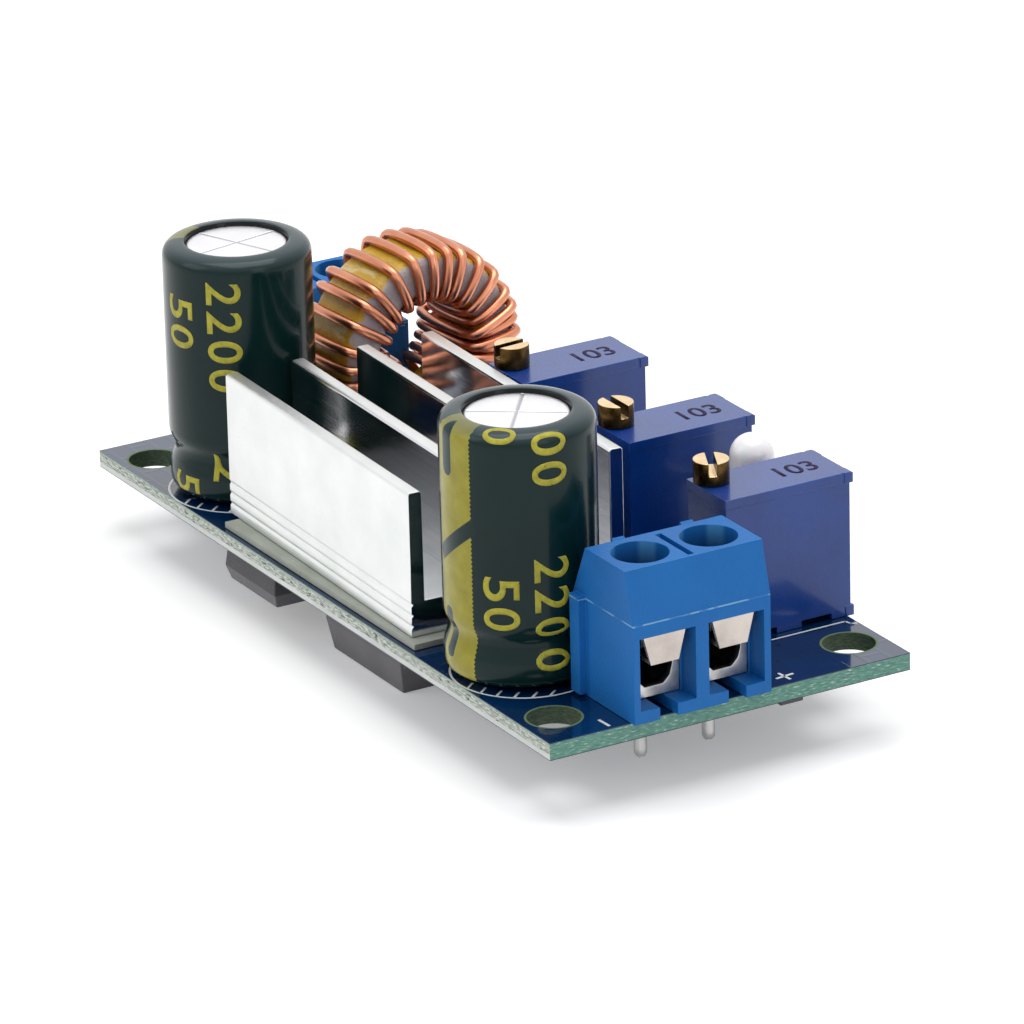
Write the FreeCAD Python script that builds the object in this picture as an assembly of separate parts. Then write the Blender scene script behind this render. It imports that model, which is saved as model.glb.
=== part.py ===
import FreeCAD, Part
import math
import os

# Step-down converter module: a small circuit board with two screw terminals, two tall capacitors,
# a finned heatsink, a wound ring choke, three multi-turn trimmers and a lamp on its top, and the
# regulator, the rectifier and small chips underneath.
#
# Millimetres. The origin is the middle of the four mounting holes, on the underside of the board.
# +X runs along the board to the output terminal, +Y across it to the trimmers, +Z up.

Vec = FreeCAD.Vector

# Board
BOARD_LENGTH = 61.3
BOARD_WIDTH = 26.9
BOARD_THICK = 1.2
HOLE_SPACING_X = 54.2
HOLE_SPACING_Y = 22.1
HOLE_DIA = 3.5

# Thin leads, their holes and the wire are drawn with a few flats
SIDES = 6
SMALL_ROUND_SIDES = 16
LEAD_HOLE_GAP = 0.05
LEAD_BELOW = 1.3

# Electrolytic capacitors: centre of each, and one size for both
CAP_PLACES = {"input_capacitor": (-19.4, -8.05), "output_capacitor": (18.82, -8.47)}
CAN_DIA = 10.14
CAN_HEIGHT = 17.45
CAN_STANDOFF = 0.35
CAN_SHOULDER = 0.75
BEAD_HEIGHT = 2.95
BEAD_HALF = 1.15
BEAD_DEPTH = 0.42
FOOT_ROLL = 0.7
SLEEVE_EYE_DIA = 6.9
VENT_RECESS = 0.28
CAP_LEAD_PITCH = 5.0
CAP_LEAD_DIA = 0.6

# Heatsink and its pad
SINK_CENTRE = (-0.95, -4.43)
SINK_LENGTH = 26.0
SINK_HEIGHT = 10.0
SINK_BASE = 2.4
FIN_COUNT = 4
FIN_PITCH = 4.95
FIN_THICK = 1.05
FIN_EDGE = 0.15
SINK_TURN = -1.5
RIB_GROOVES = 3
RIB_GROOVE_PITCH = 0.75
RIB_GROOVE_DEPTH = 0.12
RIB_GROOVE_WIDTH = 0.3
PAD_LENGTH = 25.86
PAD_WIDTH = 16.9
PAD_THICK = 0.5
PAD_CENTRE = (-0.07, -4.65)

# Ring choke: a coated powder core wound by hand with enamelled wire
CHOKE_PLACE = (-20.0, 5.35)
CHOKE_TURN = 4.2
CORE_OUTER = 13.2
CORE_BORE = 7.8
CORE_WIDTH = 5.4
WIRE_DIA = 0.62
WIRE_GAP_OUTSIDE = 0.25
WIRE_GAP_BORE = 0.08
WIRE_GAP_SIDE = 0.08
WIRE_BEND = 0.38
CHOKE_ABOVE_BOARD = 0.1
FIRST_TURN = 224.0
TURN_STEPS = (
    12, 12, 11, 10, 11, 15, 13, 10, 15, 14, 13, 11, 10,
    14, 14, 14, 9, 8, 8, 7.5, 7.5, 8, 8, 8, 8, 9,
)
BORE_LEAN = 7.0
BORE_LEAN_FROM = 100.0
LIFT_BORE = 0.62
LIFT_SIDE = 0.62
LIFT_OUTSIDE = 0.35
BORE_ROOM = 0.03

# Multi-turn trimmers, in a row along the long edge
TRIMMER_PLACES = ((-4.73, 9.02), (8.61, 9.17), (20.89, 8.97))
CASE_WIDTH = 4.8
CASE_LENGTH = 9.55
CASE_HEIGHT = 10.05
CASE_WALL = 0.5
CASE_ROOF = 0.95
CASE_FEET = 0.45
LIP_HEIGHT = 0.65
LIP_PROUD = 0.07
TAB_LENGTH = 0.5
TAB_HEIGHT = 0.75
TAB_PROUD = 0.15
BASE_THICK = 0.8
DIAL_INSET = (1.25, 1.13)
DIAL_DIA = 2.4
DIAL_HEIGHT = 1.55
DIAL_SLOT_WIDTH = 0.55
DIAL_SLOT_DEPTH = 0.85
DIAL_GAP = 0.04
LEADSCREW_DIA = 1.0
RUNNING_GAP = 0.06
TRIM_TRAVEL = 6.2
CARRIAGE_HEIGHT = 1.4
CARRIAGE_DEPTH = 1.7
ELEMENT_THICK = 0.5
ELEMENT_GAP = 0.05
TRIMMER_PIN = 0.5
TRIMMER_PIN_PITCH = 2.54
TRIMMER_PIN_TOP = 0.15
DIAL_SLOT_ANGLES = (35.0, -35.0, -62.0)

# Indicator lamp, a 3 mm domed one on long leads
LAMP_PLACE = (14.75, 11.5)
LAMP_DIA = 3.0
LAMP_HEIGHT = 5.3
LAMP_TOP = 10.45
LAMP_RIM_DIA = 3.6
LAMP_RIM_HEIGHT = 0.9
LAMP_PIN = 0.5
LAMP_PIN_PITCH = 2.54

# Two-pole screw terminals: the second is turned end for end
POLE_PITCH = 5.08
OUTPUT_TERMINAL_INSET = 3.05
INPUT_TERMINAL_INSET = 2.3
TERMINAL_ASIDE = 2.49
BLOCK_FRONT = 3.65
BLOCK_BACK = -3.75
BLOCK_HEIGHT = 10.2
BLOCK_SHOULDER = 6.72
BLOCK_TOP_FRONT = 2.7
BLOCK_TOP_BACK = -2.13
WINDOW_WIDTH = 4.12
WINDOW_TOP = 5.78
BLOCK_FLOOR = 0.85
FLOOR_SLOT = 1.3
SCREW_X = 0.4
SCREW_BORE = 3.75
TOP_SLOT_WIDTH = 0.45
TOP_SLOT_LENGTH = 4.1
TOP_SLOT_DEPTH = 0.6
RAIL_X = (-3.3, -2.15)
RAIL_PROUD = 0.55
RAIL_TOP = 6.9
BACK_RIB_WIDTH = 0.9
BACK_RIB_PROUD = 0.25
CAGE_FRONT = 1.85
CAGE_DEPTH = 3.9
CAGE_WIDTH = 3.7
CAGE_TOP = 6.6
CAGE_WALL = 0.5
CAGE_GAP = 0.06
CLAMP_SCREW_DIA = 2.6
CLAMP_HEAD_DIA = 3.4
CLAMP_HEAD_HEIGHT = 1.6
CLAMP_HEAD_TOP = 8.35
CLAMP_SLOT_WIDTH = 0.6
CLAMP_SLOT_DEPTH = 0.8
CLAMP_TIP = 4.15
LEAF_THICK = 0.25
LEAF_FRONT = 3.25
LEAF_TOP_WIDTH = 3.1
LEAF_LEG_WIDTH = 2.07
LEAF_Z = (3.65, 5.6)
TERMINAL_PIN = 0.68
TERMINAL_PIN_BELOW = 2.75

# Underside: distances are measured down from the board
REGULATOR_CENTRE = (2.06, -6.54)
REGULATOR_TURN = 90.0
REGULATOR_BODY = (9.0, 10.14, 4.4)
REGULATOR_DRAFT = 0.38
REGULATOR_TAB = 0.6
REGULATOR_TAB_WIDTH = 7.9
REGULATOR_TAB_THICK = 1.27
REGULATOR_LEADS = 5
REGULATOR_LEAD_PITCH = 1.7
REGULATOR_LEAD = (0.8, 0.5)
REGULATOR_LEAD_REACH = 4.8
REGULATOR_LEAD_EXIT = 2.4
RECTIFIER_CENTRE = (-10.1, -9.95)
RECTIFIER_BODY = (7.04, 5.9, 2.3)
RECTIFIER_PARTING = 0.57
RECTIFIER_DRAFT = 0.3
RECTIFIER_LEAD_WIDTH = 3.0
RECTIFIER_LEAD_THICK = 0.25
OP_AMP_CENTRE = (1.9, 7.6)
OP_AMP_BODY = (4.9, 3.9, 1.5)
OP_AMP_DRAFT = 0.15
OP_AMP_LEADS = 4
OP_AMP_LEAD_PITCH = 1.27
OP_AMP_LEAD = (0.42, 0.22)
OP_AMP_SPAN = 6.0
CHIP_STANDOFF = 0.1
SHUNT_INSET = 2.28
SHUNT_ASIDE = 4.9
SHUNT_SIZE = (3.2, 1.7, 0.55)
RESISTOR_SIZE = (1.6, 0.8, 0.45)
RESISTOR_ROW = (11.6, 2.4)
RESISTOR_STEP = (2.6, 2.4)
RESISTOR_COLUMNS = 4
RESISTOR_LINES = 2
CAPACITOR_SIZE = (2.0, 1.25, 0.9)
CAPACITOR_ROW = (-11.6, 1.2)
CAPACITOR_STEP = (3.2, 3.0)
CAPACITOR_COLUMNS = 2
CAPACITOR_LINES = 2
SOLDER_FILM = 0.03

# How far a cut runs out past the surface it opens
CUT_OVER = 1.0

BOARD_TOP = BOARD_THICK
FLAT_TO_CORNER = 1.0 / math.cos(math.pi / SIDES)

# The terminals stand at the ends of the board: place and turn of each
TERMINAL_PLACES = {
    "output_terminal": (BOARD_LENGTH / 2 - OUTPUT_TERMINAL_INSET, -TERMINAL_ASIDE, 0.0),
    "input_terminal": (INPUT_TERMINAL_INSET - BOARD_LENGTH / 2, TERMINAL_ASIDE, 180.0),
}


def block(x0, x1, y0, y1, z0, z1):
    return Part.makeBox(x1 - x0, y1 - y0, z1 - z0, Vec(x0, y0, z0))


def brick(centre, size, z0, z1):
    """A box with its middle at centre, between two heights."""
    half_x = size[0] / 2
    half_y = size[1] / 2
    return block(centre[0] - half_x, centre[0] + half_x, centre[1] - half_y, centre[1] + half_y, z0, z1)


def rod(x, y, z0, z1, dia):
    return Part.makeCylinder(dia / 2, z1 - z0, Vec(x, y, z0))


def flat_turning(x, y, outline, sides):
    """A small upright turning with flats: its outline is (corner radius, height) from the bottom up."""
    steps = [math.pi * (2 * i + 1) / sides for i in range(sides)]
    rings = []
    for radius, z in outline:
        rings.append([Vec(x + radius * math.cos(step), y + radius * math.sin(step), z) for step in steps])
    return prismatoid(rings)


def flat_rod(x, y, z0, z1, dia):
    """A thin upright rod with SIDES flats, dia across the flats."""
    corner = dia / 2 * FLAT_TO_CORNER
    return flat_turning(x, y, [(corner, z0), (corner, z1)], SIDES)


def prismatoid(rings):
    """The closed solid with flat sides between rings of matching points."""
    faces = [flat_face(rings[0]), flat_face(rings[-1])]
    count = len(rings[0])
    for low, high in zip(rings, rings[1:]):
        for i in range(count):
            j = (i + 1) % count
            faces.append(flat_face([low[i], low[j], high[j], high[i]]))
    solid = Part.makeSolid(Part.makeShell(faces))
    if solid.Volume < 0:
        solid.reverse()
    return solid


def flat_face(points):
    return Part.Face(Part.makePolygon(list(points) + [points[0]]))


def extruded(points, along):
    """A flat outline pushed along a vector."""
    return flat_face([Vec(*point) for point in points]).extrude(Vec(*along))


def turned(edges, x, y):
    """A closed outline in the X-Z plane turned about the upright line through x, y."""
    outline = Part.Face(Part.Wire(edges))
    solid = outline.revolve(Vec(0, 0, 0), Vec(0, 0, 1), 360)
    solid.translate(Vec(x, y, 0))
    return solid


def path_edges(points):
    """Straight edges through (radius, height) points."""
    vectors = [Vec(r, 0, z) for r, z in points]
    return [Part.makeLine(a, b) for a, b in zip(vectors, vectors[1:])]


def arc_edge(start, middle, end):
    points = [Vec(r, 0, z) for r, z in (start, middle, end)]
    return Part.Arc(*points).toShape()


def joined(shapes):
    result = shapes[0]
    for shape in shapes[1:]:
        result = result.fuse(shape)
    return result.removeSplitter()


def placed(shape, x, y, z, turn=0.0):
    copy = shape.copy()
    copy.rotate(Vec(0, 0, 0), Vec(0, 0, 1), turn)
    copy.translate(Vec(x, y, z))
    return copy


def turned_point(x, y, place):
    """A point of a terminal's own frame, in the board's frame."""
    angle = math.radians(place[2])
    return (
        place[0] + x * math.cos(angle) - y * math.sin(angle),
        place[1] + x * math.sin(angle) + y * math.cos(angle),
    )


def through_lead(x, y, top, width, below=LEAD_BELOW, square=False):
    """A lead from a part down through the board."""
    if square:
        return brick((x, y), (width, width), -below, top)
    return flat_rod(x, y, -below, top, width)


# Capacitors


def capacitor_body(x, y):
    """A sleeved can, beaded near its foot, with its bare top in the eye of the sleeve."""
    foot = BOARD_TOP + CAN_STANDOFF
    bead = foot + BEAD_HEIGHT
    top = foot + CAN_HEIGHT
    radius = CAN_DIA / 2
    eye = SLEEVE_EYE_DIA / 2
    outline = [
        (0, top - VENT_RECESS), (eye, top - VENT_RECESS), (eye, top), (radius - CAN_SHOULDER, top),
        (radius, top - CAN_SHOULDER), (radius, bead + BEAD_HALF), (radius - BEAD_DEPTH, bead),
        (radius, bead - BEAD_HALF), (radius - FOOT_ROLL, foot), (0, foot), (0, top - VENT_RECESS),
    ]
    return turned(path_edges(outline), x, y)


def capacitor_leads(x, y):
    foot = BOARD_TOP + CAN_STANDOFF - SOLDER_FILM
    leads = [through_lead(x + side * CAP_LEAD_PITCH / 2, y, foot, CAP_LEAD_DIA) for side in (-1, 1)]
    return Part.makeCompound(leads)


def capacitors():
    nodes = {}
    for name, (x, y) in CAP_PLACES.items():
        nodes[name] = capacitor_body(x, y)
        nodes[name + "_leads"] = capacitor_leads(x, y)
    return nodes


# Heatsink


def heatsink():
    """The extruded section, fins up, pushed along X and set a little askew as it is on the board."""
    width = (FIN_COUNT - 1) * FIN_PITCH + FIN_THICK
    low = BOARD_TOP + PAD_THICK
    high = low + SINK_HEIGHT
    floor = low + SINK_BASE
    section = []
    half_groove = RIB_GROOVE_WIDTH / 2
    grooves = [low + RIB_GROOVE_PITCH * (i + 1) for i in range(RIB_GROOVES)]
    for z in reversed(grooves):
        section.append((-width / 2, z + half_groove))
        section.append((-width / 2 + RIB_GROOVE_DEPTH, z))
        section.append((-width / 2, z - half_groove))
    section.append((-width / 2, low))
    section.append((width / 2, low))
    for z in grooves:
        section.append((width / 2, z - half_groove))
        section.append((width / 2 - RIB_GROOVE_DEPTH, z))
        section.append((width / 2, z + half_groove))
    for i in reversed(range(FIN_COUNT)):
        left = -width / 2 + i * FIN_PITCH
        right = left + FIN_THICK
        if i < FIN_COUNT - 1:
            section.append((right, floor))
        section.append((right, high - FIN_EDGE))
        section.append((right - FIN_EDGE, high))
        section.append((left + FIN_EDGE, high))
        section.append((left, high - FIN_EDGE))
        if i > 0:
            section.append((left, floor))
    points = [(-SINK_LENGTH / 2, y, z) for y, z in section]
    return placed(extruded(points, (SINK_LENGTH, 0, 0)), SINK_CENTRE[0], SINK_CENTRE[1], 0, SINK_TURN)


def thermal_pad():
    low = BOARD_TOP + SOLDER_FILM
    return brick(PAD_CENTRE, (PAD_LENGTH, PAD_WIDTH), low, BOARD_TOP + PAD_THICK - SOLDER_FILM)


# Ring choke


def wire_radii():
    """Radius and half-width of the wire's centre line outside the core, in its bore and beside it."""
    half = WIRE_DIA / 2
    outside = CORE_OUTER / 2 + WIRE_GAP_OUTSIDE + half
    bore = CORE_BORE / 2 - WIRE_GAP_BORE - half
    side = CORE_WIDTH / 2 + WIRE_GAP_SIDE + half
    return outside, bore, side


def choke_height():
    return BOARD_TOP + CHOKE_ABOVE_BOARD + WIRE_DIA / 2 + wire_radii()[0]


def ring_point(along, radius, angle):
    """A point of the ring: its distance along the ring's axis, its radius and its angle in degrees."""
    return Vec(along, radius * math.cos(math.radians(angle)), radius * math.sin(math.radians(angle)))


def bore_angle(angle):
    return angle + BORE_LEAN * math.sin(math.radians(angle - BORE_LEAN_FROM))


def winding_corners():
    """The corners of the wire, turn by turn. A turn with no room in the bore rides on its neighbours."""
    outside, bore, side = wire_radii()
    angles = [FIRST_TURN]
    for step in TURN_STEPS:
        angles.append(angles[-1] - step)
    corners = []
    lifted = False
    last_low = None
    for this, following in zip(angles, angles[1:]):
        inner = bore_angle(this)
        room = bore * math.radians(last_low - inner) if last_low is not None else WIRE_DIA * 2
        lifted = not lifted and room < WIRE_DIA + BORE_ROOM
        if not lifted:
            last_low = inner
        up = LIFT_SIDE if lifted else 0.0
        low = bore - LIFT_BORE if lifted else bore
        corners.append(ring_point(side + up * LIFT_OUTSIDE, outside, this))
        corners.append(ring_point(side + up, low, inner))
        corners.append(ring_point(-side - up, low, inner - (this - following) / 4))
        corners.append(ring_point(-side - up * LIFT_OUTSIDE, outside, following))
    return corners


def eased(points, setback):
    """Each sharp turn of a route outside the core becomes two gentle ones."""
    route = [points[0]]
    for i in range(1, len(points) - 1):
        corner = points[i]
        if i % 4 in (1, 2):
            route.append(corner)
            continue
        for neighbour in (points[i - 1], points[i + 1]):
            direction = (neighbour - corner).normalize()
            route.append(corner + direction * setback)
    route.append(points[-1])
    return route


def mitred_wire(points, width, first_side):
    """A wire of SIDES flats along straight runs, mitred where they meet."""
    runs = [(b - a).normalize() for a, b in zip(points, points[1:])]
    across = first_side.cross(runs[0]).normalize()
    upright = runs[0].cross(across).normalize()
    corner = width / 2 * FLAT_TO_CORNER
    ring = []
    for i in range(SIDES):
        step = math.pi * (2 * i + 1) / SIDES
        ring.append(points[0] + across * (corner * math.cos(step)) + upright * (corner * math.sin(step)))
    rings = [ring]
    for i in range(1, len(points)):
        run = runs[i - 1]
        mitre = (run + runs[i]).normalize() if i < len(runs) else run
        slide = 1.0 / run.dot(mitre)
        ring = [point + run * ((points[i] - point).dot(mitre) * slide) for point in ring]
        rings.append(ring)
    return prismatoid(rings)


def in_ring_place(point):
    """From the ring's own frame to the board's."""
    turn = math.radians(CHOKE_TURN)
    return Vec(
        CHOKE_PLACE[0] + point.x * math.cos(turn) - point.y * math.sin(turn),
        CHOKE_PLACE[1] + point.x * math.sin(turn) + point.y * math.cos(turn),
        choke_height() + point.z,
    )


def choke_ends():
    """Where the two ends of the wire go down through the board."""
    corners = winding_corners()
    return [in_ring_place(corners[0]), in_ring_place(corners[-1])]


def choke_winding():
    corners = [in_ring_place(point) for point in winding_corners()]
    first, last = corners[0], corners[-1]
    route = eased(corners, WIRE_BEND)
    route = [Vec(first.x, first.y, -LEAD_BELOW)] + route + [Vec(last.x, last.y, -LEAD_BELOW)]
    return mitred_wire(route, WIRE_DIA, Vec(1, 0, 0))


def choke_core():
    half = CORE_WIDTH / 2
    core = Part.makeCylinder(CORE_OUTER / 2, CORE_WIDTH, Vec(-half, 0, 0), Vec(1, 0, 0))
    start = Vec(-half - CUT_OVER, 0, 0)
    bore = Part.makeCylinder(CORE_BORE / 2, CORE_WIDTH + 2 * CUT_OVER, start, Vec(1, 0, 0))
    core = core.cut(bore)
    return placed(core, CHOKE_PLACE[0], CHOKE_PLACE[1], choke_height(), CHOKE_TURN)


# Trimmers: drawn with the middle of the case at 0, 0 and standing on the board


def dial_place():
    return -CASE_WIDTH / 2 + DIAL_INSET[0], -CASE_LENGTH / 2 + DIAL_INSET[1]


def case_levels():
    """Top of the base, underside of the roof and top of the case."""
    base_top = BOARD_TOP + CASE_FEET + BASE_THICK
    roof = BOARD_TOP + CASE_HEIGHT - CASE_ROOF
    return base_top, roof, BOARD_TOP + CASE_HEIGHT


def trimmer_case():
    base_top, roof, top = case_levels()
    half_w = CASE_WIDTH / 2
    half_l = CASE_LENGTH / 2
    body = block(
        -half_w + LIP_PROUD, half_w - LIP_PROUD, -half_l + LIP_PROUD, half_l - LIP_PROUD,
        BOARD_TOP + SOLDER_FILM, top,
    )
    lip = block(-half_w, half_w, -half_l, half_l, top - LIP_HEIGHT, top)
    case = body.fuse(lip)
    for side in (-1, 1):
        notch_x = sorted((side * (half_w - LIP_PROUD), side * (half_w + 1)))
        notch = block(
            *notch_x, half_l - 1.5 * TAB_LENGTH, half_l - TAB_LENGTH,
            top - LIP_HEIGHT - CUT_OVER, top + CUT_OVER,
        )
        case = case.cut(notch)
        tab_x = sorted((side * (half_w - 2 * TAB_LENGTH), side * half_w))
        tab_y = (half_l - TAB_LENGTH, half_l + TAB_PROUD)
        case = case.fuse(block(*tab_x, *tab_y, top - TAB_HEIGHT, top - LIP_PROUD))
        case = case.fuse(block(*tab_x, *tab_y, BOARD_TOP + SOLDER_FILM, BOARD_TOP + TAB_HEIGHT))
    wall = CASE_WALL + LIP_PROUD
    case = case.cut(block(-half_w + wall, half_w - wall, -half_l + wall, half_l - wall, 0, roof))
    for y in (-0.22, 0.22):
        gap_y = ((y - 0.12) * CASE_LENGTH, (y + 0.12) * CASE_LENGTH)
        case = case.cut(block(-half_w - 1, half_w + 1, *gap_y, 0, BOARD_TOP + CASE_FEET))
    dial_x, dial_y = dial_place()
    case = case.cut(flat_rod(dial_x, dial_y, roof - 1, top + 1, LEADSCREW_DIA + 2 * RUNNING_GAP))
    return case.removeSplitter()


def inner_half():
    """Half the room inside the case, across and along."""
    wall = CASE_WALL + LIP_PROUD + ELEMENT_GAP
    return CASE_WIDTH / 2 - wall, CASE_LENGTH / 2 - wall


def trimmer_base():
    half_x, half_y = inner_half()
    low = BOARD_TOP + CASE_FEET
    base = block(-half_x, half_x, -half_y, half_y, low, low + BASE_THICK)
    for i in (-1, 0, 1):
        width = TRIMMER_PIN + 2 * SOLDER_FILM
        hole = brick((0, i * TRIMMER_PIN_PITCH), (width, width), low - 1, low + BASE_THICK + 1)
        base = base.cut(hole)
    return base


def trimmer_pins():
    top = case_levels()[0] + TRIMMER_PIN_TOP
    pins = [through_lead(0, i * TRIMMER_PIN_PITCH, top, TRIMMER_PIN, square=True) for i in (-1, 0, 1)]
    return Part.makeCompound(pins)


def trimmer_screw(slot_angle):
    base_top, roof, top = case_levels()
    x, y = dial_place()
    low = top + DIAL_GAP
    head = rod(0, 0, low, low + DIAL_HEIGHT, DIAL_DIA)
    slot = block(
        -DIAL_DIA, DIAL_DIA, -DIAL_SLOT_WIDTH / 2, DIAL_SLOT_WIDTH / 2,
        low + DIAL_HEIGHT - DIAL_SLOT_DEPTH, low + DIAL_HEIGHT + CUT_OVER,
    )
    slot.rotate(Vec(0, 0, 0), Vec(0, 0, 1), slot_angle)
    shaft = flat_rod(0, 0, base_top + 0.2, low, LEADSCREW_DIA / FLAT_TO_CORNER)
    return placed(head.cut(slot).fuse(shaft), x, y, 0)


def trimmer_carriage():
    """The nut block that the leadscrew drives up and down, in the middle of its travel."""
    base_top, roof, top = case_levels()
    half_x, half_y = inner_half()
    x, y = dial_place()
    middle = (base_top + roof) / 2
    nut = block(
        -half_x, half_x - ELEMENT_THICK - 2 * ELEMENT_GAP, -half_y, -half_y + CARRIAGE_DEPTH,
        middle - CARRIAGE_HEIGHT / 2, middle + CARRIAGE_HEIGHT / 2,
    )
    bore_dia = LEADSCREW_DIA + 2 * RUNNING_GAP
    bore = flat_rod(x, y, middle - CARRIAGE_HEIGHT, middle + CARRIAGE_HEIGHT, bore_dia)
    return nut.cut(bore)


def trimmer_element():
    """The ceramic plate with the resistor track, along one long wall."""
    base_top, roof, top = case_levels()
    half_x, half_y = inner_half()
    return block(half_x - ELEMENT_THICK, half_x, -half_y, half_y, base_top + ELEMENT_GAP, roof - ELEMENT_GAP)


def trimmers():
    nodes = {}
    case = trimmer_case()
    base = trimmer_base()
    pins = trimmer_pins()
    carriage = trimmer_carriage()
    element = trimmer_element()
    for i, (x, y) in enumerate(TRIMMER_PLACES):
        name = "trimmer_%d_" % (i + 1)
        nodes[name + "case"] = placed(case, x, y, 0)
        nodes[name + "base"] = placed(base, x, y, 0)
        nodes[name + "pins"] = placed(pins, x, y, 0)
        nodes[name + "screw"] = placed(trimmer_screw(DIAL_SLOT_ANGLES[i]), x, y, 0)
        nodes[name + "carriage"] = placed(carriage, x, y, 0)
        nodes[name + "element"] = placed(element, x, y, 0)
    return nodes


# Lamp


def lamp_foot():
    return BOARD_TOP + LAMP_TOP - LAMP_HEIGHT


def lamp_lens():
    radius = LAMP_DIA / 2
    low = lamp_foot()
    high = low + LAMP_HEIGHT
    spring = high - radius
    rim = low + LAMP_RIM_HEIGHT
    outline = [(LAMP_RIM_DIA / 2, low), (LAMP_RIM_DIA / 2, rim), (radius, rim), (radius, spring)]
    for angle in (30.0, 55.0, 75.0):
        step = math.radians(angle)
        outline.append((radius * math.cos(step), spring + radius * math.sin(step)))
    outline[-1] = (outline[-1][0], high)
    return flat_turning(LAMP_PLACE[0], LAMP_PLACE[1], outline, SMALL_ROUND_SIDES)


def lamp_leads():
    top = lamp_foot() - SOLDER_FILM
    leads = [
        through_lead(LAMP_PLACE[0] + side * LAMP_PIN_PITCH / 2, LAMP_PLACE[1], top, LAMP_PIN, square=True)
        for side in (-1, 1)
    ]
    return Part.makeCompound(leads)


# Screw terminals: drawn with the line of pins at X = 0, the wire side towards +X


def pole_places():
    return (-POLE_PITCH / 2, POLE_PITCH / 2)


def terminal_housing():
    half = POLE_PITCH
    low = BOARD_TOP + SOLDER_FILM
    top = BOARD_TOP + BLOCK_HEIGHT
    shoulder = BOARD_TOP + BLOCK_SHOULDER
    side = [
        (BLOCK_BACK, low), (BLOCK_BACK, shoulder), (BLOCK_TOP_BACK, top),
        (BLOCK_TOP_FRONT, top), (BLOCK_FRONT, shoulder), (BLOCK_FRONT, low),
    ]
    housing = extruded([(x, -half, z) for x, z in side], (0, 2 * half, 0))
    rail = block(RAIL_X[0], RAIL_X[1], -half - RAIL_PROUD, -half + 0.1, low + 0.2, BOARD_TOP + RAIL_TOP)
    housing = housing.fuse(rail)
    groove_top = BOARD_TOP + RAIL_TOP + 2 * RUNNING_GAP
    groove = block(
        RAIL_X[0] - RUNNING_GAP, RAIL_X[1] + RUNNING_GAP, half - RAIL_PROUD, half + CUT_OVER, 0, groove_top
    )
    housing = housing.cut(groove)
    slope = math.atan2(BLOCK_TOP_BACK - BLOCK_BACK, BLOCK_HEIGHT - BLOCK_SHOULDER)
    length = math.hypot(BLOCK_TOP_BACK - BLOCK_BACK, BLOCK_HEIGHT - BLOCK_SHOULDER)
    for y in pole_places():
        rib = block(-BACK_RIB_PROUD, 0.2, -BACK_RIB_WIDTH / 2, BACK_RIB_WIDTH / 2, 0, length)
        rib.rotate(Vec(0, 0, 0), Vec(0, 1, 0), math.degrees(slope))
        rib.translate(Vec(BLOCK_BACK, y, shoulder))
        housing = housing.fuse(rib)
        housing = housing.cut(terminal_hollow(y))
    slot = block(
        SCREW_X - TOP_SLOT_LENGTH / 2, SCREW_X + TOP_SLOT_LENGTH / 2,
        -TOP_SLOT_WIDTH / 2, TOP_SLOT_WIDTH / 2,
        top - TOP_SLOT_DEPTH, top + 1,
    )
    return housing.cut(slot).removeSplitter()


def terminal_hollow(y):
    """What one pole takes out of the housing: window, cage room, screw bore and floor slot."""
    half = WINDOW_WIDTH / 2
    floor = BOARD_TOP + BLOCK_FLOOR
    room_back = CAGE_FRONT - CAGE_DEPTH - CAGE_GAP
    cage_half = CAGE_WIDTH / 2 + CAGE_GAP
    window = block(CAGE_FRONT, BLOCK_FRONT + 1, y - half, y + half, floor, BOARD_TOP + WINDOW_TOP)
    roof = BOARD_TOP + CAGE_TOP + CAGE_GAP
    room = block(room_back, CAGE_FRONT + CAGE_GAP, y - cage_half, y + cage_half, floor, roof)
    bore = rod(SCREW_X, y, floor + 1, BOARD_TOP + BLOCK_HEIGHT + 1, SCREW_BORE)
    slot = block(-FLOOR_SLOT / 2, BLOCK_FRONT + 1, y - FLOOR_SLOT / 2, y + FLOOR_SLOT / 2, 0, floor + 1)
    return window.fuse(room).fuse(bore).fuse(slot)


def terminal_contact(y):
    """The clamp cage: a strip bent to a box with a rounded mouth, with its pin below."""
    low = BOARD_TOP + BLOCK_FLOOR + CAGE_GAP
    high = BOARD_TOP + CAGE_TOP
    half = CAGE_WIDTH / 2
    back = CAGE_FRONT - CAGE_DEPTH
    cage = block(back, CAGE_FRONT, y - half, y + half, low, high)
    inner = half - CAGE_WALL
    floor = low + CAGE_WALL
    ceiling = high - CAGE_WALL
    mouth = [(-inner, ceiling), (-inner, floor + inner)]
    for angle in (30.0, 60.0, 120.0, 150.0):
        step = math.radians(angle)
        mouth.append((-inner * math.cos(step), floor + inner * (1 - math.sin(step))))
    mouth += [(inner, floor + inner), (inner, ceiling)]
    outline = [(back - 1, y + across, z) for across, z in mouth]
    cage = cage.cut(extruded(outline, (CAGE_DEPTH + 2, 0, 0)))
    cage = cage.cut(flat_rod(SCREW_X, y, ceiling - 1, high + 1, CLAMP_SCREW_DIA + 2 * RUNNING_GAP))
    pin = through_lead(0, y, low + CAGE_WALL / 2, TERMINAL_PIN, TERMINAL_PIN_BELOW, square=True)
    return cage.fuse(pin).removeSplitter()


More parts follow.
